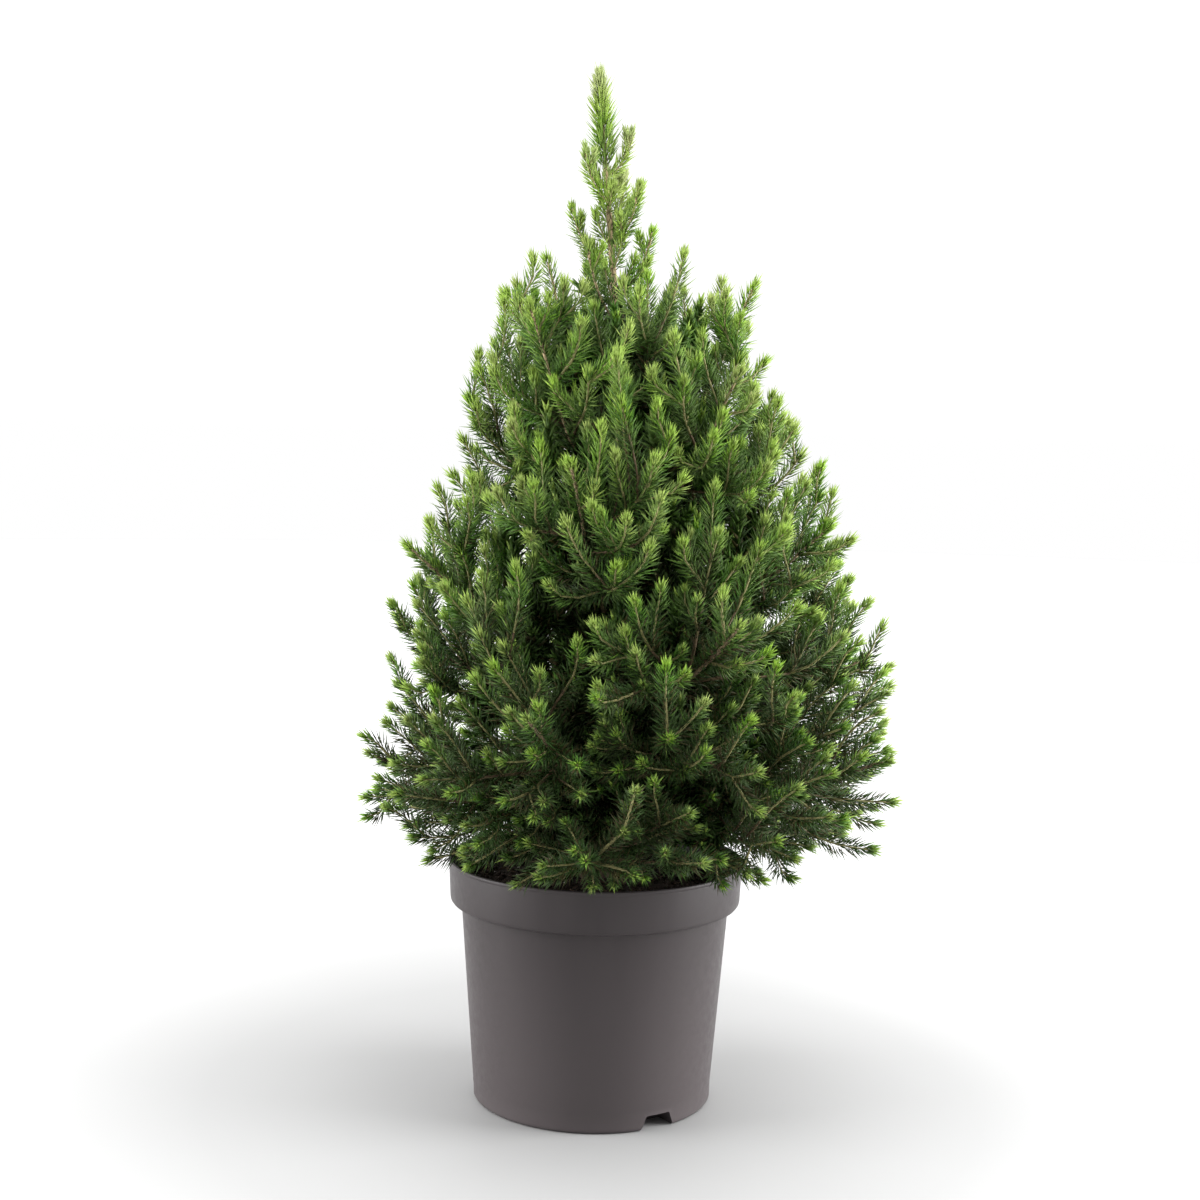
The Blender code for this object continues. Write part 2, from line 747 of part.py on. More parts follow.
def main():
    empty_scene()
    parts = new_collection("potted_spruce")
    cutters = new_collection("cutters")
    sprays = new_collection("sprays")
    make_pot(parts, cutters, paint("taupe_plastic", (0.13, 0.115, 0.118), 0.5))
    make_compost(parts, cutters, paint("compost", (0.018, 0.012, 0.008), 0.95))
    bark = paint("bark", (0.16, 0.085, 0.045), 0.85)
    needles = paint("needles", (0.075, 0.17, 0.035), 0.6)
    add_mesh("trunk", trunk_mesh(), parts, bark)
    trunk_clearance = add_mesh("trunk_clearance", trunk_mesh(GAP), cutters)
    hide(trunk_clearance)

    boughs = list(bough_lines())
    spurs = list(spur_lines())
    leader = leader_line()
    for own, twigs in zip(boughs, bough_twigs(boughs, [*spurs, leader])):
        others = [line for line in [*boughs, *spurs, leader] if line is not own]
        make_bough(own, parts, trunk_clearance, bark)
        make_bough_mass(own, others, twigs, parts, sprays, needles)
    for k, own in enumerate(spurs):
        others = [line for line in [*boughs, *spurs, leader] if line is not own]
        make_spur(k, own, others, parts, sprays, trunk_clearance, needles)
    make_leader(leader, [*boughs, *spurs], parts, sprays, needles)


main()
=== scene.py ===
"""Looks of a dwarf Alberta spruce in its plastic container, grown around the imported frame.

Metres, +Z up, -Y is the front. The tree follows the rule that its solids follow: boughs climb the trunk
in a spiral, each keeps its twigs to the space nearer to its own line than to any other, and the twigs
branch once more here, into shoots that are clothed with separate needles.
"""

import math
import random
from collections import namedtuple

import bmesh
import bpy
import numpy as np
from mathutils import Matrix, Quaternion, Vector, noise
from mathutils.geometry import interpolate_bezier


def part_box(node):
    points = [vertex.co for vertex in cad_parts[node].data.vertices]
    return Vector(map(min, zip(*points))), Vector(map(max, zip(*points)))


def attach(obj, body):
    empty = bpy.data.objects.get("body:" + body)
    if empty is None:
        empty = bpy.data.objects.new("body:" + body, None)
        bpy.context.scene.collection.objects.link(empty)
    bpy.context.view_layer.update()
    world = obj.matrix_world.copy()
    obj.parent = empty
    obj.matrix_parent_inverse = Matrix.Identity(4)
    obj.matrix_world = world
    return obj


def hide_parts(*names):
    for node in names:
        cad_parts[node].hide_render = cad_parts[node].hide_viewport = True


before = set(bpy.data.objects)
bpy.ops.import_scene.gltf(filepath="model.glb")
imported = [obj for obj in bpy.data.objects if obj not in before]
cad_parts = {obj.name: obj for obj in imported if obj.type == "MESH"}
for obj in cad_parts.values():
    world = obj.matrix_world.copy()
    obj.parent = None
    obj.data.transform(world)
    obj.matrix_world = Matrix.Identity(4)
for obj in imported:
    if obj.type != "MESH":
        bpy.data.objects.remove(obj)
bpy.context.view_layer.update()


# ---------------------------------------------------------------- Pot
# A round nursery container of satin taupe polypropylene, injection-moulded in one piece: a thin tapering
# wall under a deep collar with a small rolled lip. It stands flat on the upright band of its foot, and
# three roofed channels run in under that to drain it.

MERGE_DISTANCE = 0.00001
CORNER_STEPS = 4
pot_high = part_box("pot")[1]
POT_HEIGHT = pot_high.z
RIM_RADIUS = pot_high.x
LIP_HEIGHT = 0.0020
LIP_PROUD = 0.0005
LIP_ROUND = 0.0007
COLLAR_DEPTH = 0.028
COLLAR_FOOT_RADIUS = 0.0932
COLLAR_ROUND = 0.003
SHOULDER_RADIUS = 0.0862
SHOULDER_FILLET = 0.0012
INNER_FILLET = 0.0015
RIM_ROUND = 0.0004
LIP_FILLET = 0.0002
FOOT_RADIUS = 0.0763
FOOT_ROUND = 0.0030
FOOT_BAND_HEIGHT = 0.0132
FOOT_BAND_STEP = 0.00022
POT_WALL = 0.0016
POT_STEPS = 192
SHARP_ANGLE = math.radians(32)
CHANNELS = 3
CHANNEL_AZIMUTH = math.radians(-57)
CHANNEL_WIDTHS = (0.0245, 0.017)
CHANNEL_HEIGHT = 0.0095
CHANNEL_INNER_END = 0.060
CHANNEL_ROUND = 0.0012
CUTTER_OVERRUN = 0.010
PLASTIC_COLOUR = (0.036, 0.030, 0.031, 1)
PLASTIC_WORN_COLOUR = (0.052, 0.044, 0.045, 1)
# The paler tone at the foot is painted bounce light from the floor
PAINTED_BOUNCE_COLOUR = (0.088, 0.075, 0.077, 1)


def lerp(low, high, share):
    return low + (high - low) * share


def rounded(bm, geom, offset, affect="EDGES"):
    """Bevels these edges or points round."""
    bmesh.ops.bevel(
        bm, geom=geom, affect=affect, offset=offset, segments=CORNER_STEPS, profile=0.5, material=-1
    )


def wall_radius(height):
    """Outer radius of the pot's tapering body."""
    return lerp(FOOT_RADIUS, SHOULDER_RADIUS, height / (POT_HEIGHT - COLLAR_DEPTH))


def inner_profile(inset, top):
    """(radius, height, rounding) points up the pot's inner surface to this height, drawn in by an inset."""
    shoulder = POT_HEIGHT - COLLAR_DEPTH + POT_WALL
    wall = POT_WALL + inset
    collar = lerp(COLLAR_FOOT_RADIUS, RIM_RADIUS, (top - shoulder) / COLLAR_DEPTH)
    return [
        (0, wall, 0),
        (wall_radius(wall) - wall, wall, INNER_FILLET),
        (SHOULDER_RADIUS - wall, shoulder + inset, SHOULDER_FILLET),
        (COLLAR_FOOT_RADIUS - wall, shoulder + inset, INNER_FILLET),
        (collar - wall, top, RIM_ROUND),
    ]


def turned_mesh(profile, steps):
    """A closed mesh: (radius, height, rounding) points, each corner bevelled round, spun about Z."""
    bm = bmesh.new()
    points = [bm.verts.new((radius, 0, height)) for radius, height, _ in profile]
    for first, second in zip(points, points[1:]):
        bm.edges.new((first, second))
    for point, (_, _, rounding) in zip(points, profile):
        if rounding:
            rounded(bm, [point], rounding, affect="VERTICES")
    whole = [*bm.verts, *bm.edges]
    middle = {"axis": (0, 0, 1), "cent": (0, 0, 0)}
    bmesh.ops.spin(bm, geom=whole, angle=math.tau, steps=steps, use_merge=True, **middle)
    return closed(bm)


def closed(bm):
    """The mesh with its seams merged and its faces turned outwards."""
    bmesh.ops.remove_doubles(bm, verts=bm.verts, dist=MERGE_DISTANCE)
    bmesh.ops.recalc_face_normals(bm, faces=bm.faces)
    return bm


def add_object(name, mesh, material):
    if material:
        mesh.materials.append(material)
    piece = bpy.data.objects.new(name, mesh)
    bpy.context.scene.collection.objects.link(piece)
    return piece


def add_piece(name, bm, material=None):
    mesh = bpy.data.meshes.new(name)
    bm.to_mesh(mesh)
    bm.free()
    return add_object(name, mesh, material)


def channel_prism(index, low, grow, rounding):
    """A trapezium prism along one drain channel, from a low height, grown on its sides and top."""
    bm = bmesh.new()
    bmesh.ops.create_cube(bm, size=1)
    outer = FOOT_RADIUS + CUTTER_OVERRUN
    inner = CHANNEL_INNER_END - grow
    for corner in bm.verts:
        height = CHANNEL_HEIGHT + grow if corner.co.z > 0 else low
        width = lerp(*CHANNEL_WIDTHS, height / CHANNEL_HEIGHT)
        corner.co.x = outer if corner.co.x > 0 else inner
        corner.co.y = math.copysign(width / 2 + grow, corner.co.y)
        corner.co.z = height
    rounded(bm, [edge for edge in bm.edges if all(corner.co.z > low for corner in edge.verts)], rounding)
    turn = CHANNEL_AZIMUTH + math.tau * index / CHANNELS
    bmesh.ops.rotate(bm, verts=bm.verts, cent=(0, 0, 0), matrix=Matrix.Rotation(turn, 3, "Z"))
    return add_piece(f"channel_prism_{index}", bm)


def carve(piece, operation, tool):
    """Applies one exact Boolean and removes its tool."""
    boolean = piece.modifiers.new(operation.lower(), "BOOLEAN")
    boolean.operation = operation
    boolean.solver = "EXACT"
    boolean.object = tool
    graph = bpy.context.evaluated_depsgraph_get()
    mesh = bpy.data.meshes.new_from_object(piece.evaluated_get(graph))
    piece.modifiers.clear()
    piece.data = mesh
    bpy.data.objects.remove(tool, do_unlink=True)


def new_material(name, specular=0.5):
    """(material, its tree of nodes, its shader)"""
    material = bpy.data.materials.new(name)
    material.use_nodes = True
    tree = material.node_tree
    shader = tree.nodes["Principled BSDF"]
    shader.inputs["Specular IOR Level"].default_value = specular
    return material, tree, shader


def feed(tree, socket, value):
    """Feeds a socket with a plain value or from another socket."""
    if isinstance(value, bpy.types.NodeSocket):
        tree.links.new(value, socket)
    else:
        socket.default_value = value


def feed_node(tree, node, **values):
    """Feeds a node's inputs by their names, in which an underscore stands for a space."""
    for name, value in values.items():
        feed(tree, node.inputs[name.replace("_", " ")], value)


def add_node(tree, kind, group=None, **values):
    made = tree.nodes.new(f"ShaderNode{kind}")
    if group:
        made.node_tree = group
    feed_node(tree, made, **values)
    return made


def place_node(tree):
    """Where the shaded point lies on its piece."""
    return add_node(tree, "TexCoord").outputs["Object"]


def noise_node(tree, place, scale, detail=2.0, roughness=0.5):
    values = {"Scale": scale, "Detail": detail, "Roughness": roughness}
    return add_node(tree, "TexNoise", Vector=place, **values).outputs["Fac"]


def range_node(tree, value, low, high, from_low=0.3, from_high=0.7):
    """The value, from its own range to another, clamped."""
    values = {"From_Min": from_low, "From_Max": from_high, "To_Min": low, "To_Max": high}
    return add_node(tree, "MapRange", Value=value, **values).outputs["Result"]


def mix_node(tree, share, first, second):
    """A colour between two, each a colour or a socket."""
    mixed = add_node(tree, "Mix", Factor=share)
    mixed.data_type = "RGBA"
    for value, name in ((first, "A"), (second, "B")):
        feed(tree, next(i for i in mixed.inputs if i.name == name and i.type == "RGBA"), value)
    return next(o for o in mixed.outputs if o.type == "RGBA")


def bump_node(tree, height, strength, distance):
    return add_node(tree, "Bump", Height=height, Strength=strength, Distance=distance).outputs["Normal"]


def plastic_material():
    """Satin plastic with a fine moulded texture and faint handling marks, painted paler towards the foot."""
    material, tree, shader = new_material("taupe_plastic", specular=0.25)
    place = place_node(tree)
    drawn_up = add_node(tree, "Mapping", Vector=place, Scale=(1, 1, 0.15)).outputs["Vector"]
    cloud = noise_node(tree, drawn_up, scale=28, detail=4)
    marks = range_node(tree, cloud, low=0, high=0.55, from_low=0.42, from_high=0.75)
    height = add_node(tree, "SeparateXYZ", Vector=place).outputs["Z"]
    # Painted light: the plastic turns paler towards the foot, standing in for light thrown up from the floor
    painted_bounce = range_node(tree, height, low=1, high=0, from_low=0, from_high=POT_HEIGHT - COLLAR_DEPTH)
    plastic = mix_node(tree, marks, PLASTIC_COLOUR, PLASTIC_WORN_COLOUR)
    scuffs = noise_node(tree, place, scale=190, detail=5, roughness=0.65)
    feed_node(
        tree,
        shader,
        Base_Color=mix_node(tree, painted_bounce, plastic, PAINTED_BOUNCE_COLOUR),
        Roughness=range_node(tree, scuffs, low=0.38, high=0.52),
        Normal=bump_node(tree, noise_node(tree, place, scale=2600), strength=0.22, distance=0.0001),
    )
    return material


foot = POT_HEIGHT - COLLAR_DEPTH
band_radius = wall_radius(FOOT_BAND_HEIGHT) - FOOT_BAND_STEP
pot_profile = [
    *inner_profile(0, POT_HEIGHT),
    (RIM_RADIUS, POT_HEIGHT, LIP_ROUND),
    (RIM_RADIUS, POT_HEIGHT - LIP_HEIGHT, LIP_ROUND),
    (RIM_RADIUS - LIP_PROUD, POT_HEIGHT - LIP_HEIGHT - LIP_PROUD, LIP_FILLET),
    (COLLAR_FOOT_RADIUS, foot, COLLAR_ROUND),
    (SHOULDER_RADIUS, foot, SHOULDER_FILLET),
    (wall_radius(FOOT_BAND_HEIGHT), FOOT_BAND_HEIGHT, 0),
    (band_radius, FOOT_BAND_HEIGHT - 2 * FOOT_BAND_STEP, 0),
    (band_radius, 0, FOOT_ROUND),
    (0, 0, 0),
]
pot = add_piece("container", turned_mesh(pot_profile, POT_STEPS), plastic_material())
half_wall = POT_WALL / 2
for k in range(CHANNELS):
    # The channel's roof fills the prism inside the wall, and the channel is then cut out of it.
    inside = bmesh.new()
    radii = {"radius1": wall_radius(0) - half_wall, "radius2": wall_radius(foot) - half_wall}
    lifted = Matrix.Translation((0, 0, foot / 2))
    bmesh.ops.create_cone(inside, cap_ends=True, segments=POT_STEPS, depth=foot, matrix=lifted, **radii)
    roof = channel_prism(k, half_wall, POT_WALL, CHANNEL_ROUND + POT_WALL)
    carve(roof, "INTERSECT", add_piece("pot_inside", inside))
    carve(pot, "UNION", roof)
    carve(pot, "DIFFERENCE", channel_prism(k, -CUTTER_OVERRUN, 0, CHANNEL_ROUND))
pot.data.shade_smooth()
pot.data.set_sharp_from_angle(angle=SHARP_ANGLE)
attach(pot, "root")
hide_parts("pot")


# ---------------------------------------------------------------- Compost
# Dark peat and composted bark, filled to a finger's breadth below the rim and mounded a little round
# the trunk. Loose crumbs, short fibres of bark and a few white grains of perlite lie on it.

# The air left between any two parts that don't touch
GAP = 0.0003
SOIL_LEVEL = 0.141
SOIL_MOUND = 0.003
SOIL_SIDE_TOP = SOIL_LEVEL - 0.001
SOIL_STEPS = 150
SOIL_RINGS = 46
RING_CROWDING = 1.1
SOIL_RELIEF = 0.0016
LUMPS_PER_METRE, CLODS_PER_METRE = 260, 90
LUMP_SHARE = 0.6
LEVEL_EDGE = 8
SOIL_SEED = 11
SOIL_ROUND_TRUNK = 0.014
# A lump's lift off the compost is a share of its size, and so is its breadth along each of its axes
CRUMBS = 2300
CRUMB_SIZES = (0.0005, 0.0022)
CRUMB_LIFT, CRUMB_BREADTHS = 0.3, (0.6, 1.2)
PERLITE_GRAINS = 26
PERLITE_SIZES = (0.0007, 0.0013)
PERLITE_LIFT, PERLITE_BREADTHS = 0.5, (0.7, 1.1)
FIBRES = 240
FIBRE_LENGTHS = (0.004, 0.013)
FIBRE_WIDTH = 0.0005
FIBRE_BREADTHS = (0.6, 1.8)
FIBRE_TILT = 0.12
COMPOST_DARK = (0.010, 0.0065, 0.0045, 1)
COMPOST_LIGHT = (0.040, 0.024, 0.015, 1)
FIBRE_COLOUR = (0.085, 0.050, 0.027, 1)
PERLITE_COLOUR = (0.62, 0.60, 0.56, 1)
PERLITE_SHADE = (0.42, 0.40, 0.37, 1)
SOIL_SHY_OF_WALL = 0.0002
soil_side = inner_profile(GAP, SOIL_SIDE_TOP)
SOIL_RADIUS = soil_side[-1][0] - SOIL_SHY_OF_WALL


def evenly(low, high, count):
    """Values from low to high, both included."""
    return [lerp(low, high, k / (count - 1)) for k in range(count)]


def soil_height(x, y):
    """Height of the compost's surface, mounded towards the trunk and lumpy at two scales."""
    out = min(1.0, math.hypot(x, y) / SOIL_RADIUS)
    clods = noise.noise(Vector((x, y, 0)) * CLODS_PER_METRE)
    lumps = LUMP_SHARE * noise.noise(Vector((x, y, 3)) * LUMPS_PER_METRE)
    return SOIL_LEVEL + SOIL_MOUND * (1 - out) + SOIL_RELIEF * (clods + lumps) * (1 - out**LEVEL_EDGE)


def new_group(name, inputs, outputs):
    """(group, its inputs, its result node), from the kinds of its sockets."""
    group = bpy.data.node_groups.new(name, "ShaderNodeTree")
    for in_out, sockets in (("INPUT", inputs), ("OUTPUT", outputs)):
        for socket, kind in sockets.items():
            group.interface.new_socket(socket, in_out=in_out, socket_type=f"NodeSocket{kind}")
    return group, group.nodes.new("NodeGroupInput").outputs, group.nodes.new("NodeGroupOutput")


def mottle_group():
    """Fine mottling between two colours, with a roughness and a small relief that follow it.

    The second colour comes in as the mottling goes from Low to High, and covers the first by Most.
    """
    numbers = ["Scale", "Detail", "Fineness", "Low", "High", "Most"]
    numbers += ["First Roughness", "Second Roughness", "Relief", "Relief Height"]
    inputs = {"First": "Color", "Second": "Color", **dict.fromkeys(numbers, "Float")}
    outputs = {"Colour": "Color", "Roughness": "Float", "Normal": "Vector"}
    group, given, result = new_group("mottle", inputs, outputs)
    mottle = noise_node(group, place_node(group), given["Scale"], given["Detail"], given["Fineness"])
    share = range_node(group, mottle, 0, given["Most"], given["Low"], given["High"])
    feed_node(
        group,
        result,
        Colour=mix_node(group, share, given["First"], given["Second"]),
        Roughness=range_node(group, mottle, given["First Roughness"], given["Second Roughness"]),
        Normal=bump_node(group, mottle, given["Relief"], given["Relief Height"]),
    )
    return group


mottle = mottle_group()


def mottled_material(name, specular, **values):
    """A material in the group's mottling, with the values that its inputs take."""
    material, tree, shader = new_material(name, specular)
    mottled = add_node(tree, "Group", mottle, **values).outputs
    roughness, normal = mottled["Roughness"], mottled["Normal"]
    feed_node(tree, shader, Base_Color=mottled["Colour"], Roughness=roughness, Normal=normal)
    return material


def crumb_material(name, dark, light, scale):
    """Dull crumbly stuff, mottled between two colours."""
    colours = {"First": dark, "Second": light}
    mottling = {"Detail": 6, "Fineness": 0.7, "Low": 0.38, "High": 0.66, "Most": 1}
    surface = {"First_Roughness": 0.95, "Second_Roughness": 0.78, "Relief": 0.8, "Relief_Height": 0.0008}
    return mottled_material(name, specular=0.25, Scale=scale, **colours, **mottling, **surface)


def piece_of_copies(name, corners, pattern, material):
    """One object of many small meshes: (copies, corners of each, 3) places, and the faces of one copy."""
    copies, each, _ = corners.shape
    faces = np.array(pattern)[None] + (each * np.arange(copies))[:, None, None]
    sides = faces.shape[2]
    mesh = bpy.data.meshes.new(name)
    mesh.vertices.add(copies * each)
    mesh.vertices.foreach_set("co", np.ascontiguousarray(corners, np.float32).ravel())
    mesh.loops.add(faces.size)
    mesh.loops.foreach_set("vertex_index", np.ascontiguousarray(faces, np.int32).ravel())
    mesh.polygons.add(faces.size // sides)
    mesh.polygons.foreach_set("loop_start", np.arange(0, faces.size, sides, dtype=np.int32))
    mesh.update(calc_edges=True)
    return add_object(name, mesh, material)


def scattered(name, pattern, bits, material):
    """Copies of one small bmesh: each bit is (place, sizes along its axes, matrix that turns it)."""
    pattern.verts.index_update()
    corners = np.array([corner.co for corner in pattern.verts])
    faces = [[corner.index for corner in face.verts] for face in pattern.faces]
    pattern.free()
    places, sizes, turns = (np.array(part) for part in zip(*bits))
    spread = np.einsum("nij,nkj->nki", turns, corners[None] * sizes[:, None]) + places[:, None]
    return piece_of_copies(name, spread, faces, material)


def random_turn(seeded):
    axis = Vector([seeded.gauss(0, 1) for _ in range(3)]).normalized()
    return Quaternion(axis, seeded.uniform(0, math.tau)).to_matrix()


def on_soil(seeded, outer, lift):
    """A random place on the compost, clear of the trunk, within a radius, lifted off it."""
    out = math.sqrt(seeded.uniform(SOIL_ROUND_TRUNK**2, outer**2))
    turn = seeded.uniform(0, math.tau)
    x, y = out * math.cos(turn), out * math.sin(turn)
    return Vector((x, y, soil_height(x, y) + lift))


def lump(seeded, size, lift, breadths):
    """(place, sizes, turn) of a crumb or grain that lies on the compost."""
    place = on_soil(seeded, SOIL_RADIUS - size, size * lift)
    return place, [size * seeded.uniform(*breadths) for _ in range(3)], random_turn(seeded)


def fibre(seeded):
    """(place, sizes, turn) of a fibre that lies nearly level."""
    length = seeded.uniform(*FIBRE_LENGTHS)
    place = on_soil(seeded, SOIL_RADIUS - length / 2, FIBRE_WIDTH)
    sizes = [length, FIBRE_WIDTH * seeded.uniform(*FIBRE_BREADTHS), FIBRE_WIDTH]
    level = Quaternion((0, 0, 1), seeded.uniform(0, math.tau))
    return place, sizes, (level @ Quaternion((0, 1, 0), seeded.gauss(0, FIBRE_TILT))).to_matrix()


soil_top = [
    (SOIL_RADIUS * (1 - inwards**RING_CROWDING), SOIL_LEVEL, 0) for inwards in evenly(0, 1, SOIL_RINGS + 1)
]
soil = turned_mesh([*soil_side, *soil_top], SOIL_STEPS)
for corner in soil.verts:
    if corner.co.z > (SOIL_SIDE_TOP + SOIL_LEVEL) / 2:
        corner.co.z = soil_height(corner.co.x, corner.co.y)
compost_matter = crumb_material("dark_compost", COMPOST_DARK, COMPOST_LIGHT, scale=420)
soil = add_piece("compost_fill", soil, compost_matter)
for k in range(CHANNELS):
    carve(soil, "DIFFERENCE", channel_prism(k, -CUTTER_OVERRUN, POT_WALL + GAP, CHANNEL_ROUND + POT_WALL))
soil.data.shade_smooth()

seeded = random.Random(SOIL_SEED)
crumb_shape, fibre_shape, grain_shape = bmesh.new(), bmesh.new(), bmesh.new()
bmesh.ops.create_icosphere(crumb_shape, subdivisions=1, radius=1)
bmesh.ops.create_cube(fibre_shape, size=1)
bmesh.ops.create_icosphere(grain_shape, subdivisions=2, radius=1)
fibre_matter = crumb_material("bark_fibre", COMPOST_LIGHT, FIBRE_COLOUR, scale=300)
perlite_matter = crumb_material("perlite", PERLITE_SHADE, PERLITE_COLOUR, scale=900)
crumb_bits = [
    lump(seeded, lerp(*CRUMB_SIZES, seeded.random() ** 3), CRUMB_LIFT, CRUMB_BREADTHS) for _ in range(CRUMBS)
]
fibre_bits = [fibre(seeded) for _ in range(FIBRES)]
grain_bits = [
    lump(seeded, seeded.uniform(*PERLITE_SIZES), PERLITE_LIFT, PERLITE_BREADTHS)
    for _ in range(PERLITE_GRAINS)
]
crumbs = scattered("compost_crumbs", crumb_shape, crumb_bits, compost_matter)
crumbs.data.shade_flat()
fibres = scattered("compost_fibres", fibre_shape, fibre_bits, fibre_matter)
perlite = scattered("perlite_grains", grain_shape, grain_bits, perlite_matter)
for piece in (soil, crumbs, fibres, perlite):
    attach(piece, "root")
    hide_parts("compost")


# ---------------------------------------------------------------- Trunk
# A straight single stem of living wood in thin scaly bark, rooted in the compost, where it flares. The
# bark is pale tan between the needles at the top, and dark brown and cracked at the foot.

TRUNK_FOOT = SOIL_LEVEL + SOIL_MOUND + GAP
TRUNK_SUNK = 0.004
TRUNK_RADIUS = 0.0070
TRUNK_FLARE = 0.0040
TRUNK_FLARE_HEIGHT = 0.010
TRUNK_TOP = 0.594
TRUNK_TOP_RADIUS = 0.0015
TRUNK_TAPER = 0.85
TRUNK_SWAY = 0.010
TRUNK_SWAY_BACK = 0.4
TRUNK_SWAY_TURN = 2.5
TREE_TOP = 0.655
LEADER_LEAN = -0.008
LEADER_BEND = 6
TRUNK_RING_STEP = 0.0016
TRUNK_SIDES = 28
BARK_RELIEF = 0.00055
BARK_LUMPS_PER_METRE = 160
BARK_LUMP_SHARE = 0.5
BARK_SUNK_SHARE = 0.35
SCALES_PER_METRE = 420
SCALE_STRETCH = 0.45
TRUNK_AGED = (0.26, 0.50)
YOUNG_BARK = (0.58, 0.44, 0.26, 1)
OLD_BARK = (0.095, 0.060, 0.038, 1)
BARK_CRACK = (0.022, 0.013, 0.009, 1)


def trunk_at(height):
    """The middle of the trunk, which sways to one side and back under a leader that leans the other way."""
    share = (height - TRUNK_FOOT) / (TREE_TOP - TRUNK_FOOT)
    sway = TRUNK_SWAY * math.sin(math.pi * share) ** 2
    lean = LEADER_LEAN * max(0.0, share) ** LEADER_BEND
    return Vector((sway + lean, TRUNK_SWAY_BACK * sway * math.cos(TRUNK_SWAY_TURN * share), height))


def trunk_radius(height):
    share = max(0.0, (height - TRUNK_FOOT) / (TRUNK_TOP - TRUNK_FOOT))
    flare = TRUNK_FLARE * math.exp(-(height - TRUNK_FOOT) / TRUNK_FLARE_HEIGHT)
    return lerp(TRUNK_RADIUS, TRUNK_TOP_RADIUS, share**TRUNK_TAPER) + flare


def limb_mesh(limbs, sides, relief):
    """Closed tapering tubes, each (points, radii), with bark raised on them as high as relief(place)."""
    curve = bpy.data.curves.new("limb", "CURVE")
    curve.dimensions = "3D"
    curve.bevel_depth = 1
    curve.bevel_resolution = sides // 2 - 2
    curve.use_fill_caps = True
    for points, radii in limbs:
        spline = curve.splines.new("POLY")
        spline.points.add(len(points) - 1)
        for knot, place, radius in zip(spline.points, points, radii):
            knot.co = (*place, 1)
            knot.radius = radius
    holder = bpy.data.objects.new("limb", curve)
    bpy.context.scene.collection.objects.link(holder)
    graph = bpy.context.evaluated_depsgraph_get()
    mesh = bpy.data.meshes.new_from_object(holder.evaluated_get(graph))
    bpy.data.objects.remove(holder, do_unlink=True)
    bm = bmesh.new()
    bm.from_mesh(mesh)
    bpy.data.meshes.remove(mesh)
    closed(bm).normal_update()
    for corner in bm.verts:
        place = corner.co
        scales = noise.voronoi(Vector((place.x, place.y, place.z * SCALE_STRETCH)) * SCALES_PER_METRE)[0]
        raised = scales[1] - scales[0] + BARK_LUMP_SHARE * noise.noise(place * BARK_LUMPS_PER_METRE)
        corner.co = place + corner.normal * relief(place) * (raised - BARK_SUNK_SHARE)
    return bm


def bark_material(name, low, high):
    """Bark that turns from its old colour to its young one between two heights, dark in its cracks."""
    material, tree, shader = new_material(name, specular=0.3)
    place = place_node(tree)
    height = add_node(tree, "SeparateXYZ", Vector=place).outputs["Z"]
    aged = range_node(tree, height, 0, 1, from_low=low, from_high=high)
    mottling = {"Scale": 260, "Detail": 4, "Fineness": 0.5, "Low": 0.3, "High": 0.7, "Most": 0.35}
    surface = {"First_Roughness": 0.72, "Second_Roughness": 0.92, "Relief": 0.6, "Relief_Height": 0.0004}
    colours = {"First": mix_node(tree, aged, OLD_BARK, YOUNG_BARK), "Second": BARK_CRACK}
    mottled = add_node(tree, "Group", mottle, **colours, **mottling, **surface).outputs
    flattened = add_node(tree, "Mapping", Vector=place, Scale=(1, 1, SCALE_STRETCH)).outputs["Vector"]
    scales = add_node(tree, "TexVoronoi", Vector=flattened, Scale=SCALES_PER_METRE)
    scales.feature = "DISTANCE_TO_EDGE"
    cracks = range_node(tree, scales.outputs["Distance"], 1, 0, from_low=0, from_high=0.10)
    colour = mix_node(tree, cracks, mottled["Colour"], BARK_CRACK)
    roughness, normal = mottled["Roughness"], mottled["Normal"]
    feed_node(tree, shader, Base_Color=colour, Roughness=roughness, Normal=normal)
    return material


trunk_low = TRUNK_FOOT - TRUNK_SUNK
trunk_rings = round((TRUNK_TOP - trunk_low) / TRUNK_RING_STEP) + 1
trunk_heights = evenly(trunk_low, TRUNK_TOP, trunk_rings)
trunk_points = [trunk_at(height) for height in trunk_heights]
trunk_radii = [trunk_radius(max(height, TRUNK_FOOT)) for height in trunk_heights]
bark_matter = bark_material("scaly_bark", *TRUNK_AGED)
trunk = limb_mesh(
    [(trunk_points, trunk_radii)],
    TRUNK_SIDES,
    lambda place: BARK_RELIEF * trunk_radius(max(place.z, TRUNK_FOOT)) / TRUNK_RADIUS,
)
trunk = add_piece("bark_trunk", trunk, bark_matter)
trunk.data.shade_smooth()
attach(trunk, "root")
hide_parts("trunk")


# ---------------------------------------------------------------- Boughs
# Twenty-two living limbs and twelve short spurs, grown out of the trunk in the same bark. They climb it
# in a spiral, sweep out and up to the crown's outline, and thin to twigs at their tips.

BOUGHS = 22
CROWN_SEED = 383
GOLDEN_ANGLE = math.radians(137.508)
FIRST_AZIMUTH = math.radians(134)
AZIMUTH_JITTER = math.radians(14)
ROOT_HEIGHTS = (0.160, 0.415)
LOWEST_TIP, HIGHEST_TIP = 0.178, 0.542
TIP_CROWDING = 1.1
ROOT_CROWDING = 1.3
OUTLINE_HEIGHTS = (0.17, 0.22, 0.28, 0.34, 0.40, 0.47, 0.54)
OUTLINE_RADII = (0.160, 0.172, 0.168, 0.148, 0.124, 0.096, 0.072)
REACH_JITTER = 0.07
CROWN_DRIFT = 0.018
TIP_RISES = (math.radians(14), math.radians(68))
ROOT_RISE = 0.35
SWEEP = 0.36
BARE_SHARE = 0.22
BOUGH_THICKNESS = 0.5
BOUGH_TAPER = 0.65
BOUGH_TIP_TAPER = 0.8
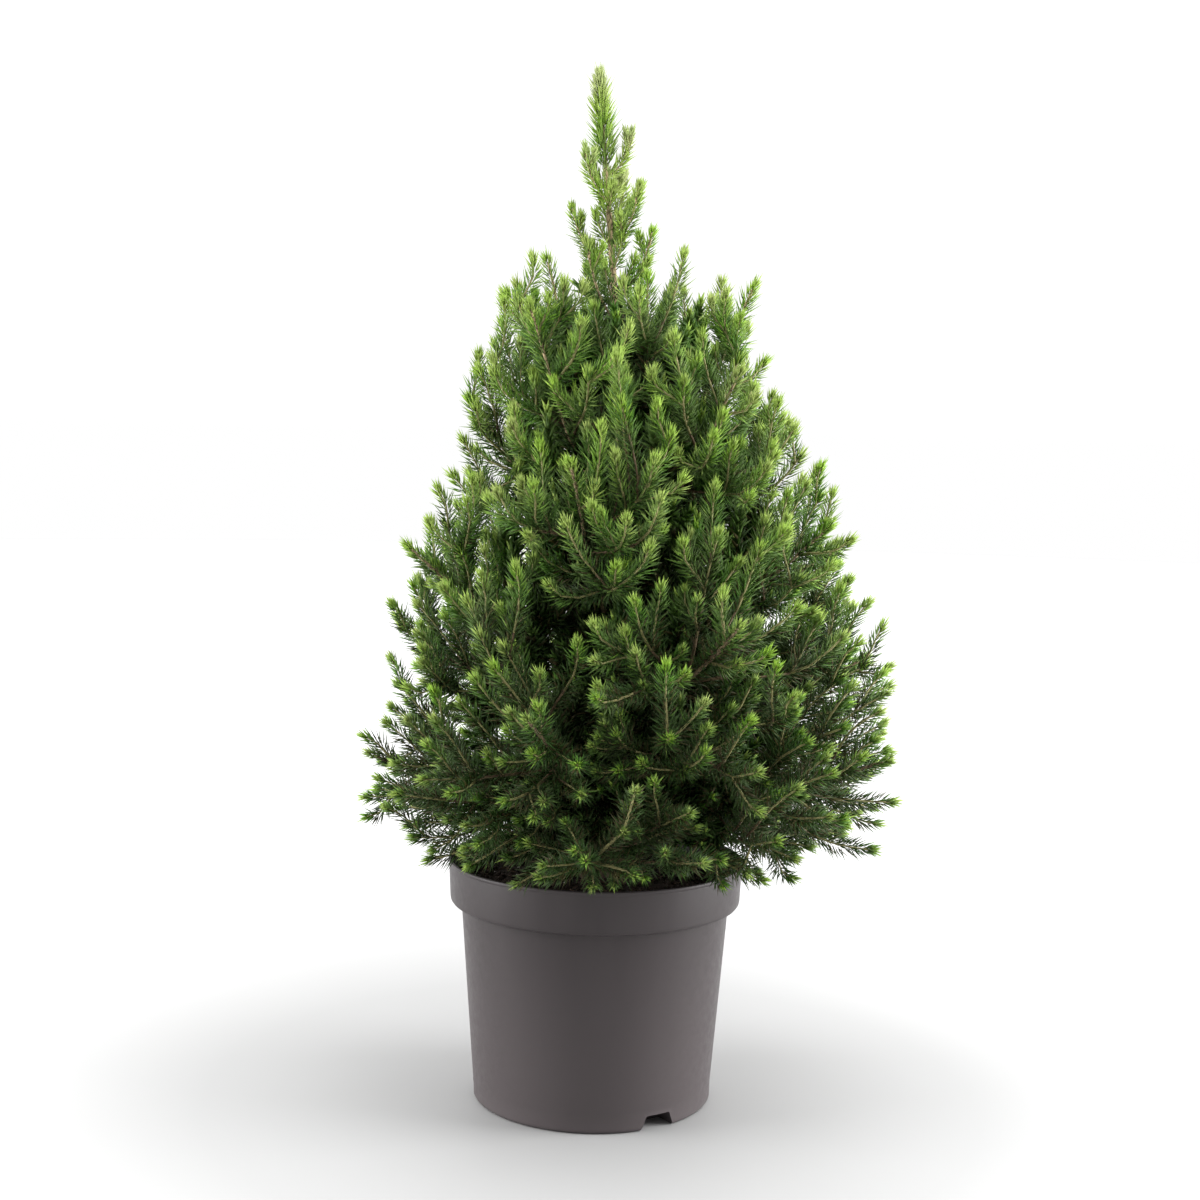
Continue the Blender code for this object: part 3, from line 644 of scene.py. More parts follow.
BOUGH_TIP_RADIUS = 0.0009
BOUGH_RING_STEP = 0.0025
BOUGH_SIDES = 10
BOUGH_END = 0.98
BOUGH_RELIEF = 0.00025
BOUGHS_AGED = (0.18, 0.46)
SPURS = 12
SPUR_SEED = 348
SPUR_HEIGHTS = (0.425, 0.588)
SPUR_LENGTHS = (0.078, 0.032)
SPUR_RISES = (math.radians(48), math.radians(62))
SPUR_CURL = math.radians(20)
SPUR_THICKNESS = 0.4
BOUGH_POINTS, SPUR_POINTS = 10, 6

Line = namedtuple("Line", "name points")


def table_value(place, places, values):
    """The value at a place, on straight lines between the listed ones."""
    return float(np.interp(place, places, values))


def heading(azimuth, rise):
    return Vector((math.cos(azimuth) * math.cos(rise), math.sin(azimuth) * math.cos(rise), math.sin(rise)))


def jitter(seeded, most):
    return seeded.uniform(-most, most)


def swept_line(name, root, tip, azimuth, rise, samples):
    """A line that leaves its root more level than it reaches its tip, where it has the given rise."""
    pull = SWEEP * (tip - root).length
    first = root + heading(azimuth, ROOT_RISE * rise) * pull
    second = tip - heading(azimuth, rise) * pull
    return Line(name, interpolate_bezier(root, first, second, tip, samples))


def bough_lines():
    seeded = random.Random(CROWN_SEED)
    for k, share in enumerate(evenly(0, 1, BOUGHS)):
        azimuth = FIRST_AZIMUTH + k * GOLDEN_ANGLE + jitter(seeded, AZIMUTH_JITTER)
        tip_height = lerp(LOWEST_TIP, HIGHEST_TIP, share**TIP_CROWDING)
        reach = table_value(tip_height, OUTLINE_HEIGHTS, OUTLINE_RADII) * (1 + jitter(seeded, REACH_JITTER))
        root = trunk_at(lerp(*ROOT_HEIGHTS, share**ROOT_CROWDING))
        drift = CROWN_DRIFT * (1 - share**2)
        tip = Vector((root.x + drift, root.y, tip_height)) + heading(azimuth, 0) * reach
        yield swept_line(f"{k + 1:02d}", root, tip, azimuth, lerp(*TIP_RISES, share), BOUGH_POINTS)


def spur_lines():
    seeded = random.Random(SPUR_SEED)
    for k, share in enumerate(evenly(0, 1, SPURS)):
        azimuth = FIRST_AZIMUTH + (BOUGHS + k) * GOLDEN_ANGLE + jitter(seeded, AZIMUTH_JITTER)
        rise = lerp(*SPUR_RISES, share)
        root = trunk_at(lerp(*SPUR_HEIGHTS, share))
        tip = root + heading(azimuth, rise) * lerp(*SPUR_LENGTHS, share)
        yield swept_line(f"{k + 1:02d}", root, tip, azimuth, rise + SPUR_CURL, SPUR_POINTS)


def place_on(points, share):
    """(point, direction) at a share of a line's length. Past either end it runs straight on."""
    lengths = [(b - a).length for a, b in zip(points, points[1:])]
    left = share * sum(lengths)
    for k, length in enumerate(lengths):
        if left <= length or k == len(lengths) - 1:
            break
        left -= length
    direction = (points[k + 1] - points[k]).normalized()
    return points[k] + direction * left, direction


def line_length(points):
    return sum((b - a).length for a, b in zip(points, points[1:]))


def part_of(points, start, end, samples):
    """The stretch of a line between two shares of its length."""
    return [place_on(points, share)[0] for share in evenly(start, end, samples)]


def limb_radii(root_radius, count):
    """A limb's radii: to BOUGH_TAPER of its root over its bare part, then on to a twig's at its tip."""
    bare = BARE_SHARE * count
    for k in range(count):
        if k < bare:
            yield lerp(root_radius, root_radius * BOUGH_TAPER, k / bare)
        else:
            share = (k - bare) / (count - 1 - bare)
            yield lerp(root_radius * BOUGH_TAPER, BOUGH_TIP_RADIUS, share**BOUGH_TIP_TAPER)


boughs = list(bough_lines())
spurs = list(spur_lines())
limbs = []
for line in [*boughs, *spurs]:
    count = round(line_length(line.points) / BOUGH_RING_STEP)
    thickness = BOUGH_THICKNESS if line in boughs else SPUR_THICKNESS
    radii = limb_radii(thickness * trunk_radius(line.points[0].z), count)
    limbs.append((part_of(line.points, 0, BOUGH_END, count), radii))
limb_matter = bark_material("bough_bark", *BOUGHS_AGED)
limb_piece = add_piece("bark_boughs", limb_mesh(limbs, BOUGH_SIDES, lambda place: BOUGH_RELIEF), limb_matter)
limb_piece.data.shade_smooth()
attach(limb_piece, "root")
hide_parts(*[f"bough_{line.name}" for line in boughs])


# ---------------------------------------------------------------- Twigs
# Living wood, grown out of the boughs: tan inside the crown, pale under this year's needles. A twig
# leaves its bough forwards and bends up to its tip on the crown's outline, or falls short of it in its
# bough's own space. Finer shoots fill the crown, each from the twig that best reaches its tip.

TWIG_TIPS = 220
TIP_SEED = 1367
LOWEST_TWIG_TIP, HIGHEST_TWIG_TIP = 0.176, 0.536
HEIGHT_JITTER = 0.012
HOLLOW_TOP = 0.06
OUTLINE_RISES = tuple(math.radians(rise) for rise in (2, 17, 39, 56, 67, 73, 79))
TWIG_DEPTH = 0.93
DEPTH_JITTER = 0.09
RISE_JITTER = math.radians(13)
ROLL_JITTER = 0.3
TURNING_COST = 5.0
MOST_TURNED = 0.4
STEM_ROOTS = 17
SHOOT_ROOTS = 7
SHORTEST_SHOOT = 0.022
STEM_POINTS = 9
TWIG_POINTS = 6
ROOT_PULL, TIP_PULL = 0.28, 0.52
TWIG_SHARES = (0.05, 0.90)
TWIG_TRIES = (1.0, 0.85, 0.7, 0.55)
# Room kept free round a twig, from a share of its length to past its tip, and inside the pot's rim
TWIG_ROOM = 0.0035
ROOM_START, ROOM_END = 0.2, 1.15
RIM_ROOM = 0.018
NEEDLE_LEAN = 0.006

# The side twigs of the spurs, which grow by their place on the stem
SPUR_TWIGS = 2
SPUR_VIGOURS, SPUR_TWIG_VIGOURS = (0.95, 0.75), (0.9, 0.75)
SPUR_TWIG_LENGTHS = (0.030, 0.020)
HIGHEST_SPUR_SCALE = 0.5
LENGTH_JITTER = 0.15
TWIG_SEED = 100
TWIG_ANGLE = math.radians(40)
TWIG_RISE = 0.45
MOST_DROOP = 0.3

# The finer shoots: (how many tips, at what share of the outline's radius, how far apart, the longest)
FINE_LAYERS = (
    (420, 0.93, 0.018, 0.090),
    (440, 0.83, 0.014, 0.085),
    (480, 0.70, 0.010, 0.080),
    (560, 0.58, 0.008, 0.075),
    (620, 0.45, 0.007, 0.070),
    (500, 0.30, 0.007, 0.070),
    (300, 0.15, 0.007, 0.065),
)
FINE_VIGOUR = 0.95
# The lowest shoots, which hang level over the pot's rim
SKIRT_TIPS = 130
SKIRT_HEIGHTS = (0.165, 0.182)
SKIRT_RISES = (math.radians(-12), math.radians(16))
SKIRT_APART, LONGEST_SKIRT = 0.012, 0.075
# Short tufts on the topmost stretch of the trunk, and the needles that it still bears itself
TUFTS = 18
TUFT_HEIGHTS = (0.46, 0.580)
TUFT_LENGTHS = (0.038, 0.018)
TUFT_RISES = (math.radians(50), math.radians(68))
TUFT_VIGOURS = (0.95, 0.8)
NEEDLED_TRUNK = 0.578
TRUNK_VIGOUR = 0.75
LEADER_VIGOURS = (1.3, 1.05)
FINE_ROOM = 0.001
TWIG_RADIUS = 0.0012
FINE_RADIUS = 0.0008
TWIG_TIP_RADIUS = 0.0005
PALE_LENGTH = 0.040
SHORTEST_TAN_SHARE = 0.1
STRETCH_POINTS = 5
TRUNK_POINTS, LEADER_POINTS = 25, 5
STEPS_A_SAMPLE = 4
TWIG_RINGS = 4
TWIG_SIDES = 4
# A direction that no twig takes, to turn its sides from
ASKEW = (0.31, 0.77, 0.13)
PALE_TWIG = (0.340, 0.320, 0.140, 1)
PALE_TWIG_SHADE = (0.200, 0.180, 0.075, 1)
TAN_TWIG = (0.150, 0.105, 0.055, 1)
TAN_TWIG_SHADE = (0.070, 0.046, 0.024, 1)

UP = Vector((0, 0, 1))
# vigour is the length of a shoot's needles, as a share of the longest
Shoot = namedtuple("Shoot", "points radius vigour")


def trunk_stretch(low, high, count):
    return [trunk_at(height) for height in evenly(low, high, count)]


def is_clear(place, reach):
    """Whether a ball of this radius is off the trunk, and over the rim or, well inside it, the compost."""
    inside = math.hypot(place.x, place.y) + reach < RIM_RADIUS - RIM_ROOM
    floor = SOIL_LEVEL + SOIL_MOUND if inside else POT_HEIGHT
    height = max(TRUNK_FOOT, min(TRUNK_TOP, place.z))
    off_trunk = (place - trunk_at(height)).length > reach + trunk_radius(height) + GAP
    return place.z - reach > floor + GAP and off_trunk


leader = Line("leader", trunk_stretch(TRUNK_TOP, TREE_TOP - NEEDLE_LEAN, LEADER_POINTS))
all_lines = [*boughs, *spurs, leader]
segment_starts = np.array([point for line in all_lines for point in line.points[:-1]])
segment_runs = np.array([point for line in all_lines for point in line.points[1:]]) - segment_starts
first_segments = np.cumsum([0] + [len(line.points) - 1 for line in all_lines[:-1]])


def line_distances(places):
    """How far each place is from each line of the crown, as a table."""
    gaps = np.array(places)[:, None] - segment_starts
    shares = np.clip((gaps * segment_runs).sum(2) / (segment_runs**2).sum(1), 0, 1)
    reached = np.linalg.norm(gaps - shares[:, :, None] * segment_runs, axis=2)
    return np.minimum.reduceat(reached, first_segments, axis=1)


def has_room(twig, index):
    """Whether a twig and its needles keep off the pot and the trunk, nearer this line than any other."""
    places = part_of(twig, ROOM_START, ROOM_END, TWIG_POINTS)
    if not all(is_clear(place, TWIG_ROOM) for place in places):
        return False
    table = line_distances(places)
    others = np.delete(table, index, axis=1).min(axis=1)
    return bool((others > table[:, index] + 2 * TWIG_ROOM + GAP).all())


def crown_middle(height):
    """The axis of the crown, which drifts to one side below."""
    share = (height - LOWEST_TIP) / (HIGHEST_TIP - LOWEST_TIP)
    return trunk_at(height) + Vector((CROWN_DRIFT * (1 - max(0.0, min(1.0, share)) ** 2), 0, 0))


def crown_tips(count, depth, seed):
    """(place, direction) of tips dealt evenly over the crown, at a share of its outline's radius."""
    seeded = random.Random(seed)
    low, high = OUTLINE_RADII[0], OUTLINE_RADII[-1]
    for k in range(count):
        dealt = (k + 0.5) / count
        share = (low - math.sqrt(low**2 - (low**2 - high**2) * dealt)) / (low - high)
        height = lerp(LOWEST_TWIG_TIP, HIGHEST_TWIG_TIP - HOLLOW_TOP * (1 - depth), share)
        azimuth = seed + k * GOLDEN_ANGLE + jitter(seeded, ROLL_JITTER)
        radius = table_value(height, OUTLINE_HEIGHTS, OUTLINE_RADII)
        reach = radius * depth * (1 + jitter(seeded, DEPTH_JITTER))
        rise = table_value(height, OUTLINE_HEIGHTS, OUTLINE_RISES) + jitter(seeded, RISE_JITTER)
        tip = crown_middle(height) + heading(azimuth, 0) * reach
        tip.z += jitter(seeded, HEIGHT_JITTER) * share
        yield tip, heading(azimuth, rise)


def roots_on(lines):
    """(places, directions) on these lines from which a twig may grow."""
    roots = []
    for line in lines:
        steps = STEM_ROOTS if len(line) > TWIG_POINTS else SHOOT_ROOTS
        roots += [place_on(line, share) for share in evenly(*TWIG_SHARES, steps)]
    places, directions = zip(*roots)
    return np.array(places), np.array(directions)


def best_root(places, directions, tip, direction):
    """(root, its direction, length, turn) of the shoot that best reaches a tip, from near and behind it."""
    gaps = np.array(tip) - places
    lengths = np.linalg.norm(gaps, axis=1)
    turned = 1 - gaps @ np.array(direction) / lengths
    cost = lengths * (1 + TURNING_COST * turned)
    cost[lengths < SHORTEST_SHOOT] = math.inf
    best = int(cost.argmin())
    return Vector(places[best]), Vector(directions[best]), lengths[best], turned[best]


def reaching_twig(root, along, tip, direction):
    """A twig that leaves a stem forwards and reaches a tip with this direction there."""
    length = (tip - root).length
    start = (along + (tip - root) / length).normalized()
    first = root + start * ROOT_PULL * length
    second = tip - direction * TIP_PULL * length
    return interpolate_bezier(root, first, second, tip, TWIG_POINTS)


def grow_twigs(stems):
    """The twigs of every bough's mass, one for each tip on the outline that is the bough's own."""
    roots = [roots_on([stem]) for stem in stems]
    for tip, direction in crown_tips(TWIG_TIPS, TWIG_DEPTH, TIP_SEED):
        index = int(line_distances([tip])[0].argmin())
        if index >= BOUGHS:
            continue
        root, along, _, turned = best_root(*roots[index], tip, direction)
        if turned > MOST_TURNED:
            continue
        for shorter in TWIG_TRIES:
            line = reaching_twig(root, along, root.lerp(tip, shorter), direction)
            if has_room(line, index):
                yield Shoot(line, TWIG_RADIUS, 1.0)
                break


def spur_twig(stem, share, roll, length):
    """A twig that leaves a stem at this share of it, turned about it by roll, and rises towards its tip."""
    root, along = place_on(stem, share)
    level = along.cross(UP).normalized()
    upward = level.cross(along)
    side = level * math.cos(roll) + upward * math.sin(roll)
    if side.z < -MOST_DROOP:
        side -= 2 * side.dot(upward) * upward
    start = along * math.cos(TWIG_ANGLE) + side * math.sin(TWIG_ANGLE)
    end = (start + UP * TWIG_RISE).normalized()
    middle = root + start * length / 2
    return [root, middle, middle + end * length / 2]


def grow_spur(k, own):
    """A short stem on the upper trunk and its side twigs."""
    share = k / (SPURS - 1)
    thickness = trunk_radius(own.points[0].z)
    stem = part_of(own.points, thickness / 2 / line_length(own.points), 1, TWIG_POINTS)
    yield Shoot(stem, 0, lerp(*SPUR_VIGOURS, share))
    scale = lerp(1, HIGHEST_SPUR_SCALE, share)
    seeded = random.Random(TWIG_SEED + BOUGHS + k)
    for number in range(SPUR_TWIGS):
        along = lerp(*TWIG_SHARES, (number + 0.5) / SPUR_TWIGS)
        roll = number * GOLDEN_ANGLE + jitter(seeded, ROLL_JITTER)
        wanted = lerp(*SPUR_TWIG_LENGTHS, along) * scale * (1 + jitter(seeded, LENGTH_JITTER))
        for shorter in TWIG_TRIES:
            line = spur_twig(stem, along, roll, wanted * shorter)
            if has_room(line, BOUGHS + k):
                yield Shoot(line, FINE_RADIUS, lerp(*SPUR_TWIG_VIGOURS, share))
                break


def skirt_tips(seed):
    """(place, direction) of the lowest tips, dealt evenly over the crown's underside."""
    seeded = random.Random(seed)
    for k in range(SKIRT_TIPS):
        height = seeded.uniform(*SKIRT_HEIGHTS)
        azimuth = seed + k * GOLDEN_ANGLE
        reach = OUTLINE_RADII[0] * TWIG_DEPTH * math.sqrt((k + 0.5) / SKIRT_TIPS)
        tip = crown_middle(height) + heading(azimuth, 0) * reach
        yield tip, heading(azimuth, seeded.uniform(*SKIRT_RISES))


def grow_tufts():
    """Short shoots straight from the trunk, all the way up to the leader."""
    seeded = random.Random(TIP_SEED)
    for k, share in enumerate(evenly(0, 1, TUFTS)):
        azimuth = k * GOLDEN_ANGLE + jitter(seeded, ROLL_JITTER)
        root = trunk_at(lerp(*TUFT_HEIGHTS, share))
        half = lerp(*TUFT_LENGTHS, share) * (1 + jitter(seeded, LENGTH_JITTER)) / 2
        middle = root + heading(azimuth, TUFT_RISES[0]) * half
        line = [root, middle, middle + heading(azimuth, TUFT_RISES[1]) * half]
        yield Shoot(line, FINE_RADIUS, lerp(*TUFT_VIGOURS, share))


def grow_layer(parents, tips, apart, longest):
    """Finer shoots to these tips, each from the line that best reaches it, off the pot and the trunk."""
    places, directions = roots_on(parents)
    crowd = np.concatenate([places, [line[-1] for line in parents]])
    for tip, direction in tips:
        if np.linalg.norm(crowd - np.array(tip), axis=1).min() < apart:
            continue
        root, along, length, _ = best_root(places, directions, tip, direction)
        if length > longest:
            continue
        line = reaching_twig(root, along, tip, direction)
        if all(is_clear(place, FINE_ROOM) for place in line[2:]):
            yield Shoot(line, FINE_RADIUS, FINE_VIGOUR)


def smooth_line(points, samples):
    """A line as an array of places, spaced evenly. Three points become one curve that runs through them."""
    points = np.array(points)
    if len(points) == 3:
        bend = 2 * points[1] - (points[0] + points[2]) / 2
        share = np.linspace(0, 1, STEPS_A_SAMPLE * samples)[:, None]
        points = (1 - share) ** 2 * points[0] + 2 * share * (1 - share) * bend + share**2 * points[2]
    steps = np.linalg.norm(np.diff(points, axis=0), axis=1)
    travelled = np.concatenate([[0], np.cumsum(steps)])
    wanted = np.linspace(0, travelled[-1], samples)
    return np.stack([np.interp(wanted, travelled, points[:, axis]) for axis in range(3)], axis=1)


def unit(vectors):
    return vectors / np.linalg.norm(vectors, axis=-1, keepdims=True)


def frames_along(places):
    """(tangents, sides, uppers) at each place of one line or of many."""
    tangents = unit(np.gradient(places, axis=-2))
    sides = unit(np.cross(tangents, ASKEW))
    return tangents, sides, np.cross(tangents, sides)


def twig_tubes(stretches):
    """Corners of a slim closed tube along each stretch, (points, radius at root, at tip), and one's faces."""
    places = np.stack([smooth_line(points, TWIG_RINGS) for points, _, _ in stretches])
    radii = np.stack([np.linspace(root, tip, TWIG_RINGS) for _, root, tip in stretches])
    _, sides, uppers = (part[:, :, None] for part in frames_along(places))
    ring = np.arange(TWIG_SIDES)
    turns = (ring * math.tau / TWIG_SIDES)[:, None]
    around = np.cos(turns) * sides + np.sin(turns) * uppers
    tubes = places[:, :, None] + around * radii[:, :, None, None]
    corners = np.concatenate([tubes.reshape(len(tubes), -1, 3), places[:, :1], places[:, -1:]], axis=1)
    after = (ring + 1) % TWIG_SIDES
    last = (TWIG_RINGS - 1) * TWIG_SIDES
    root, tip = last + TWIG_SIDES, last + TWIG_SIDES + 1
    faces = []
    for low in range(0, last, TWIG_SIDES):
        high = low + TWIG_SIDES
        faces += [(low + ring, low + after, high + after), (low + ring, high + after, high + ring)]
    faces += [(0 * ring + root, after, ring), (0 * ring + tip, last + ring, last + after)]
    return corners, np.concatenate([np.stack(part, axis=1) for part in faces])


def twig_material(name, light, shade):
    """Smooth thin bark, mottled finely between two tones."""
    mottling = {"Scale": 420, "Detail": 3, "Fineness": 0.5, "Low": 0.3, "High": 0.7, "Most": 1}
    surface = {"First_Roughness": 0.55, "Second_Roughness": 0.8, "Relief": 0.5, "Relief_Height": 0.0003}
    return mottled_material(name, specular=0.3, First=light, Second=shade, **mottling, **surface)


stems = [
    part_of(own.points, BARE_SHARE + GAP / line_length(own.points), 1, STEM_POINTS) for own in boughs
]
shoots = [Shoot(stem, 0, 1.0) for stem in stems]
shoots += grow_twigs(stems)
shoots += [shoot for k, own in enumerate(spurs) for shoot in grow_spur(k, own)]
trunk_line = trunk_stretch(TRUNK_FOOT, TRUNK_TOP, TRUNK_POINTS)
layers = [
    (crown_tips(count, depth, TIP_SEED + 1 + number), apart, longest)
    for number, (count, depth, apart, longest) in enumerate(FINE_LAYERS)
]
for layer in [*layers, (skirt_tips(TIP_SEED), SKIRT_APART, LONGEST_SKIRT)]:
    shoots += list(grow_layer([shoot.points for shoot in shoots] + [trunk_line], *layer))
shoots += grow_tufts()
# The leader is clothed twice over, by longer needles and by shorter ones
shoots.append(Shoot(leader.points, TRUNK_TOP_RADIUS, LEADER_VIGOURS[0]))
shoots.append(Shoot(leader.points, 0, LEADER_VIGOURS[1]))
shoots.append(Shoot(trunk_stretch(NEEDLED_TRUNK, TRUNK_TOP, 3), 0, TRUNK_VIGOUR))

pale_stretches, tan_stretches = [], []
for shoot in shoots:
    if shoot.radius:
        split = max(0.0, 1 - PALE_LENGTH / line_length(shoot.points))
        middle_radius = lerp(shoot.radius, TWIG_TIP_RADIUS, split)
        outer = part_of(shoot.points, split, 1, STRETCH_POINTS)
        pale_stretches.append((outer, middle_radius, TWIG_TIP_RADIUS))
        if split > SHORTEST_TAN_SHARE:
            inner = part_of(shoot.points, 0, split, STRETCH_POINTS)
            tan_stretches.append((inner, shoot.radius, middle_radius))
foliage_nodes = [*(f"mass_{own.name}" for own in boughs), *(f"spur_{own.name}" for own in spurs), "leader"]
for name, stretches, light, shade in (
    ("pale_twigs", pale_stretches, PALE_TWIG, PALE_TWIG_SHADE),
    ("tan_twigs", tan_stretches, TAN_TWIG, TAN_TWIG_SHADE),
):
    twigs = piece_of_copies(name, *twig_tubes(stretches), twig_material(name, light, shade))
    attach(twigs, "root")
    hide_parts(*foliage_nodes)


# ---------------------------------------------------------------- Needles
# Stiff evergreen needles, set all round each shoot and swept towards its tip, where this year's are
# short, soft and bright and stand in a blunt tuft. They darken inwards, partly as older needles do and
# partly as painted shade, and lower in the crown as painted shade, in tones dealt out by the spray.

NEEDLE_SEED = 5
NEEDLE_LENGTH = 0.0110
NEEDLE_WIDTH = 0.00098
INNER_WIDTH = 0.0030
SHOOT_POINTS = 24
DENSE_NEEDLES, SPARSE_NEEDLES, INNER_NEEDLES = 2600, 1600, 1150
DENSE_LENGTH = 0.050
INNER_SHARE = 0.68
NEEDLE_SPREAD, NEEDLE_LIMITS = 0.15, (0.6, 1.4)
ROLL_SPREAD = 0.25
ANGLE_SPREAD = math.radians(8)
NEEDLE_SINK = 0.7
NEEDLE_CURL = 0.16
NEEDLE_LIFT = 0.04
NEEDLE_WAIST = 0.42
SPINDLE = ((0, 2, 1), (0, 3, 2), (0, 1, 3), (4, 1, 2), (4, 2, 3), (4, 3, 1))
SPIKE = ((0, 2, 1), (3, 0, 1), (3, 1, 2), (3, 2, 0))
# Keeps the cross product of a needle that lies along its shoot from being nothing
NUDGE = 0.001
# By the distance from the shoot's tip: how far a needle stands off the shoot, and its share of full length
TIP_DISTANCES = (0.0, 0.003, 0.008, 0.018, 0.040)
TIP_ANGLES = tuple(math.radians(angle) for angle in (16, 30, 42, 51, 58))
TIP_LENGTHS = (0.60, 0.66, 0.80, 0.96, 1.0)
TIP_TUFT = 18
TUFT_DEPTH = 0.005
# How much more crowded needles stand at the very top, and how much closer to the shoot
TOP_DENSITY, TOP_CLOSENESS = 1.5, 0.80
MOST_NEEDLES_A_PIECE = 33000
# How far this year's growth goes down a shoot, by how far out in the crown the shoot ends
TOP_SHARE, PALE_SHARE = 1.4, 1.3
TOP_SHARES = (1.0, TOP_SHARE)
SHOULDER_HEIGHTS = (0.49, 0.54, 0.60)
SHOULDER_SHARES = (0.0, 0.9, TOP_SHARE)
OUTWARD_SHARES = (0.50, 0.72, 0.90, 1.10, TOP_SHARE)
OUTWARD_YOUTHS = (0.0, 0.35, 0.95, 1.15, 1.60)
# How much of it is left, by height: painted shade, which darkens the lower crown
PAINTED_SHADE_HEIGHTS = (0.18, 0.32, 0.48)
YOUTH_LEFT_BY_PAINTED_SHADE = (0.10, 0.35, 1.0)
OUTWARD_JITTER = 0.07
FRESH_LENGTHS, LIGHT_LENGTHS = (0.006, 0.013), (0.012, 0.024)
# Shoots ending inside the crown get a short mid stretch and so mostly the deep tone: partly older needles'
# own darker green, partly painted shade for the crown's inside
MID_LENGTH, INNER_MID_LENGTH = 0.034, 0.008
MOST_MID_SHARE = 0.5
TONE_JITTER = 0.22
OLD_NEEDLES = 0.22
TONES = {
    "pale": (0.300, 0.380, 0.118, 1),
    "fresh": (0.250, 0.365, 0.058, 1),
    "light": (0.140, 0.240, 0.034, 1),
    "mid": (0.067, 0.133, 0.021, 1),
    "deep": (0.029, 0.060, 0.011, 1),
    "old": (0.052, 0.046, 0.014, 1),
}


def needle_tone_group():
    """A colour that wanders a little in hue, depth and brightness over the surface."""
    outputs = {"Colour": "Color", "Roughness": "Float"}
    group, given, result = new_group("needle_tone", {"Colour": "Color"}, outputs)
    place = place_node(group)
    fine = noise_node(group, place, scale=330, detail=1)
    broad = noise_node(group, place, scale=38)
    tint = add_node(
        group,
        "HueSaturation",
        Color=given["Colour"],
        Hue=range_node(group, broad, 0.485, 0.515),
        Saturation=range_node(group, broad, 0.86, 1.08),
        Value=range_node(group, fine, 0.70, 1.34),
    )
    roughness = range_node(group, fine, 0.42, 0.62)
    feed_node(group, result, Colour=tint.outputs["Color"], Roughness=roughness)
    return group


def needle_material(tone, colour, group):
    material, tree, shader = new_material(f"needles_{tone}", specular=0.18)
    toned = add_node(tree, "Group", group, Colour=colour).outputs
    feed_node(tree, shader, Base_Color=toned["Colour"], Roughness=toned["Roughness"])
    return material


def crown_share(place):
    """How far out a place lies: 0 on the crown's axis, 1 at its outline, more above its shoulders."""
    middle = crown_middle(place.z)
    out = math.hypot(place.x - middle.x, place.y - middle.y)
    share = out / table_value(place.z, OUTLINE_HEIGHTS, OUTLINE_RADII)
    return max(share, table_value(place.z, SHOULDER_HEIGHTS, SHOULDER_SHARES))


def needles_of(shoot, outward, dice):
    """(bases, directions, shoot directions, lengths, distances from the tip) of one shoot's needles."""
    line = smooth_line(shoot.points, SHOOT_POINTS)
    length = np.linalg.norm(np.diff(line, axis=0), axis=1).sum()
    if outward > INNER_SHARE:
        dense = min(length, DENSE_LENGTH)
        tuft = dice.uniform(0, TUFT_DEPTH, TIP_TUFT)
        crowded = np.interp(outward, TOP_SHARES, (1.0, TOP_DENSITY))
        young = np.arange(0, dense, 1 / DENSE_NEEDLES / crowded)
        older = np.arange(dense, length, 1 / SPARSE_NEEDLES / crowded)
        tips = np.concatenate([young, older, tuft])
    else:
        tips = np.arange(0, length, 1 / INNER_NEEDLES)
    tangents, sides, uppers = frames_along(line)
    spots = (1 - tips / length) * (len(line) - 1)
    below = np.clip(spots.astype(int), 0, len(line) - 2)
    part = (spots - below)[:, None]

    def between(values):
        return values[below] * (1 - part) + values[below + 1] * part

    rolls = np.arange(len(tips)) * GOLDEN_ANGLE + dice.normal(0, ROLL_SPREAD, len(tips))
    out = np.cos(rolls)[:, None] * between(sides) + np.sin(rolls)[:, None] * between(uppers)
    angles = np.interp(tips, TIP_DISTANCES, TIP_ANGLES) + dice.normal(0, ANGLE_SPREAD, len(tips))
    angles *= np.interp(outward, TOP_SHARES, (1.0, TOP_CLOSENESS))
    along = unit(between(tangents))
    direction = along * np.cos(angles)[:, None] + out * np.sin(angles)[:, None]
    direction[:, 2] += NEEDLE_LIFT
    direction = unit(direction)
    lengths = NEEDLE_LENGTH * shoot.vigour * np.interp(tips, TIP_DISTANCES, TIP_LENGTHS)
    lengths = lengths * (1 + dice.normal(0, NEEDLE_SPREAD, len(tips))).clip(*NEEDLE_LIMITS)
    radii = lerp(TWIG_TIP_RADIUS, max(shoot.radius, TWIG_TIP_RADIUS), tips / length)[:, None]
    return between(line) + out * radii * NEEDLE_SINK, direction, along, lengths, tips


def clear_needles(bases, directions, lengths):
    """Which needles end clear of the pot's wall and the compost."""
    ends = bases + directions * lengths[:, None]
    out = np.hypot(ends[:, 0], ends[:, 1])
    over_soil = (out < RIM_RADIUS - 3 * POT_WALL) & (ends[:, 2] > SOIL_LEVEL + SOIL_MOUND)
    return over_soil | (ends[:, 2] > POT_HEIGHT + GAP) | (out > RIM_RADIUS + POT_WALL)


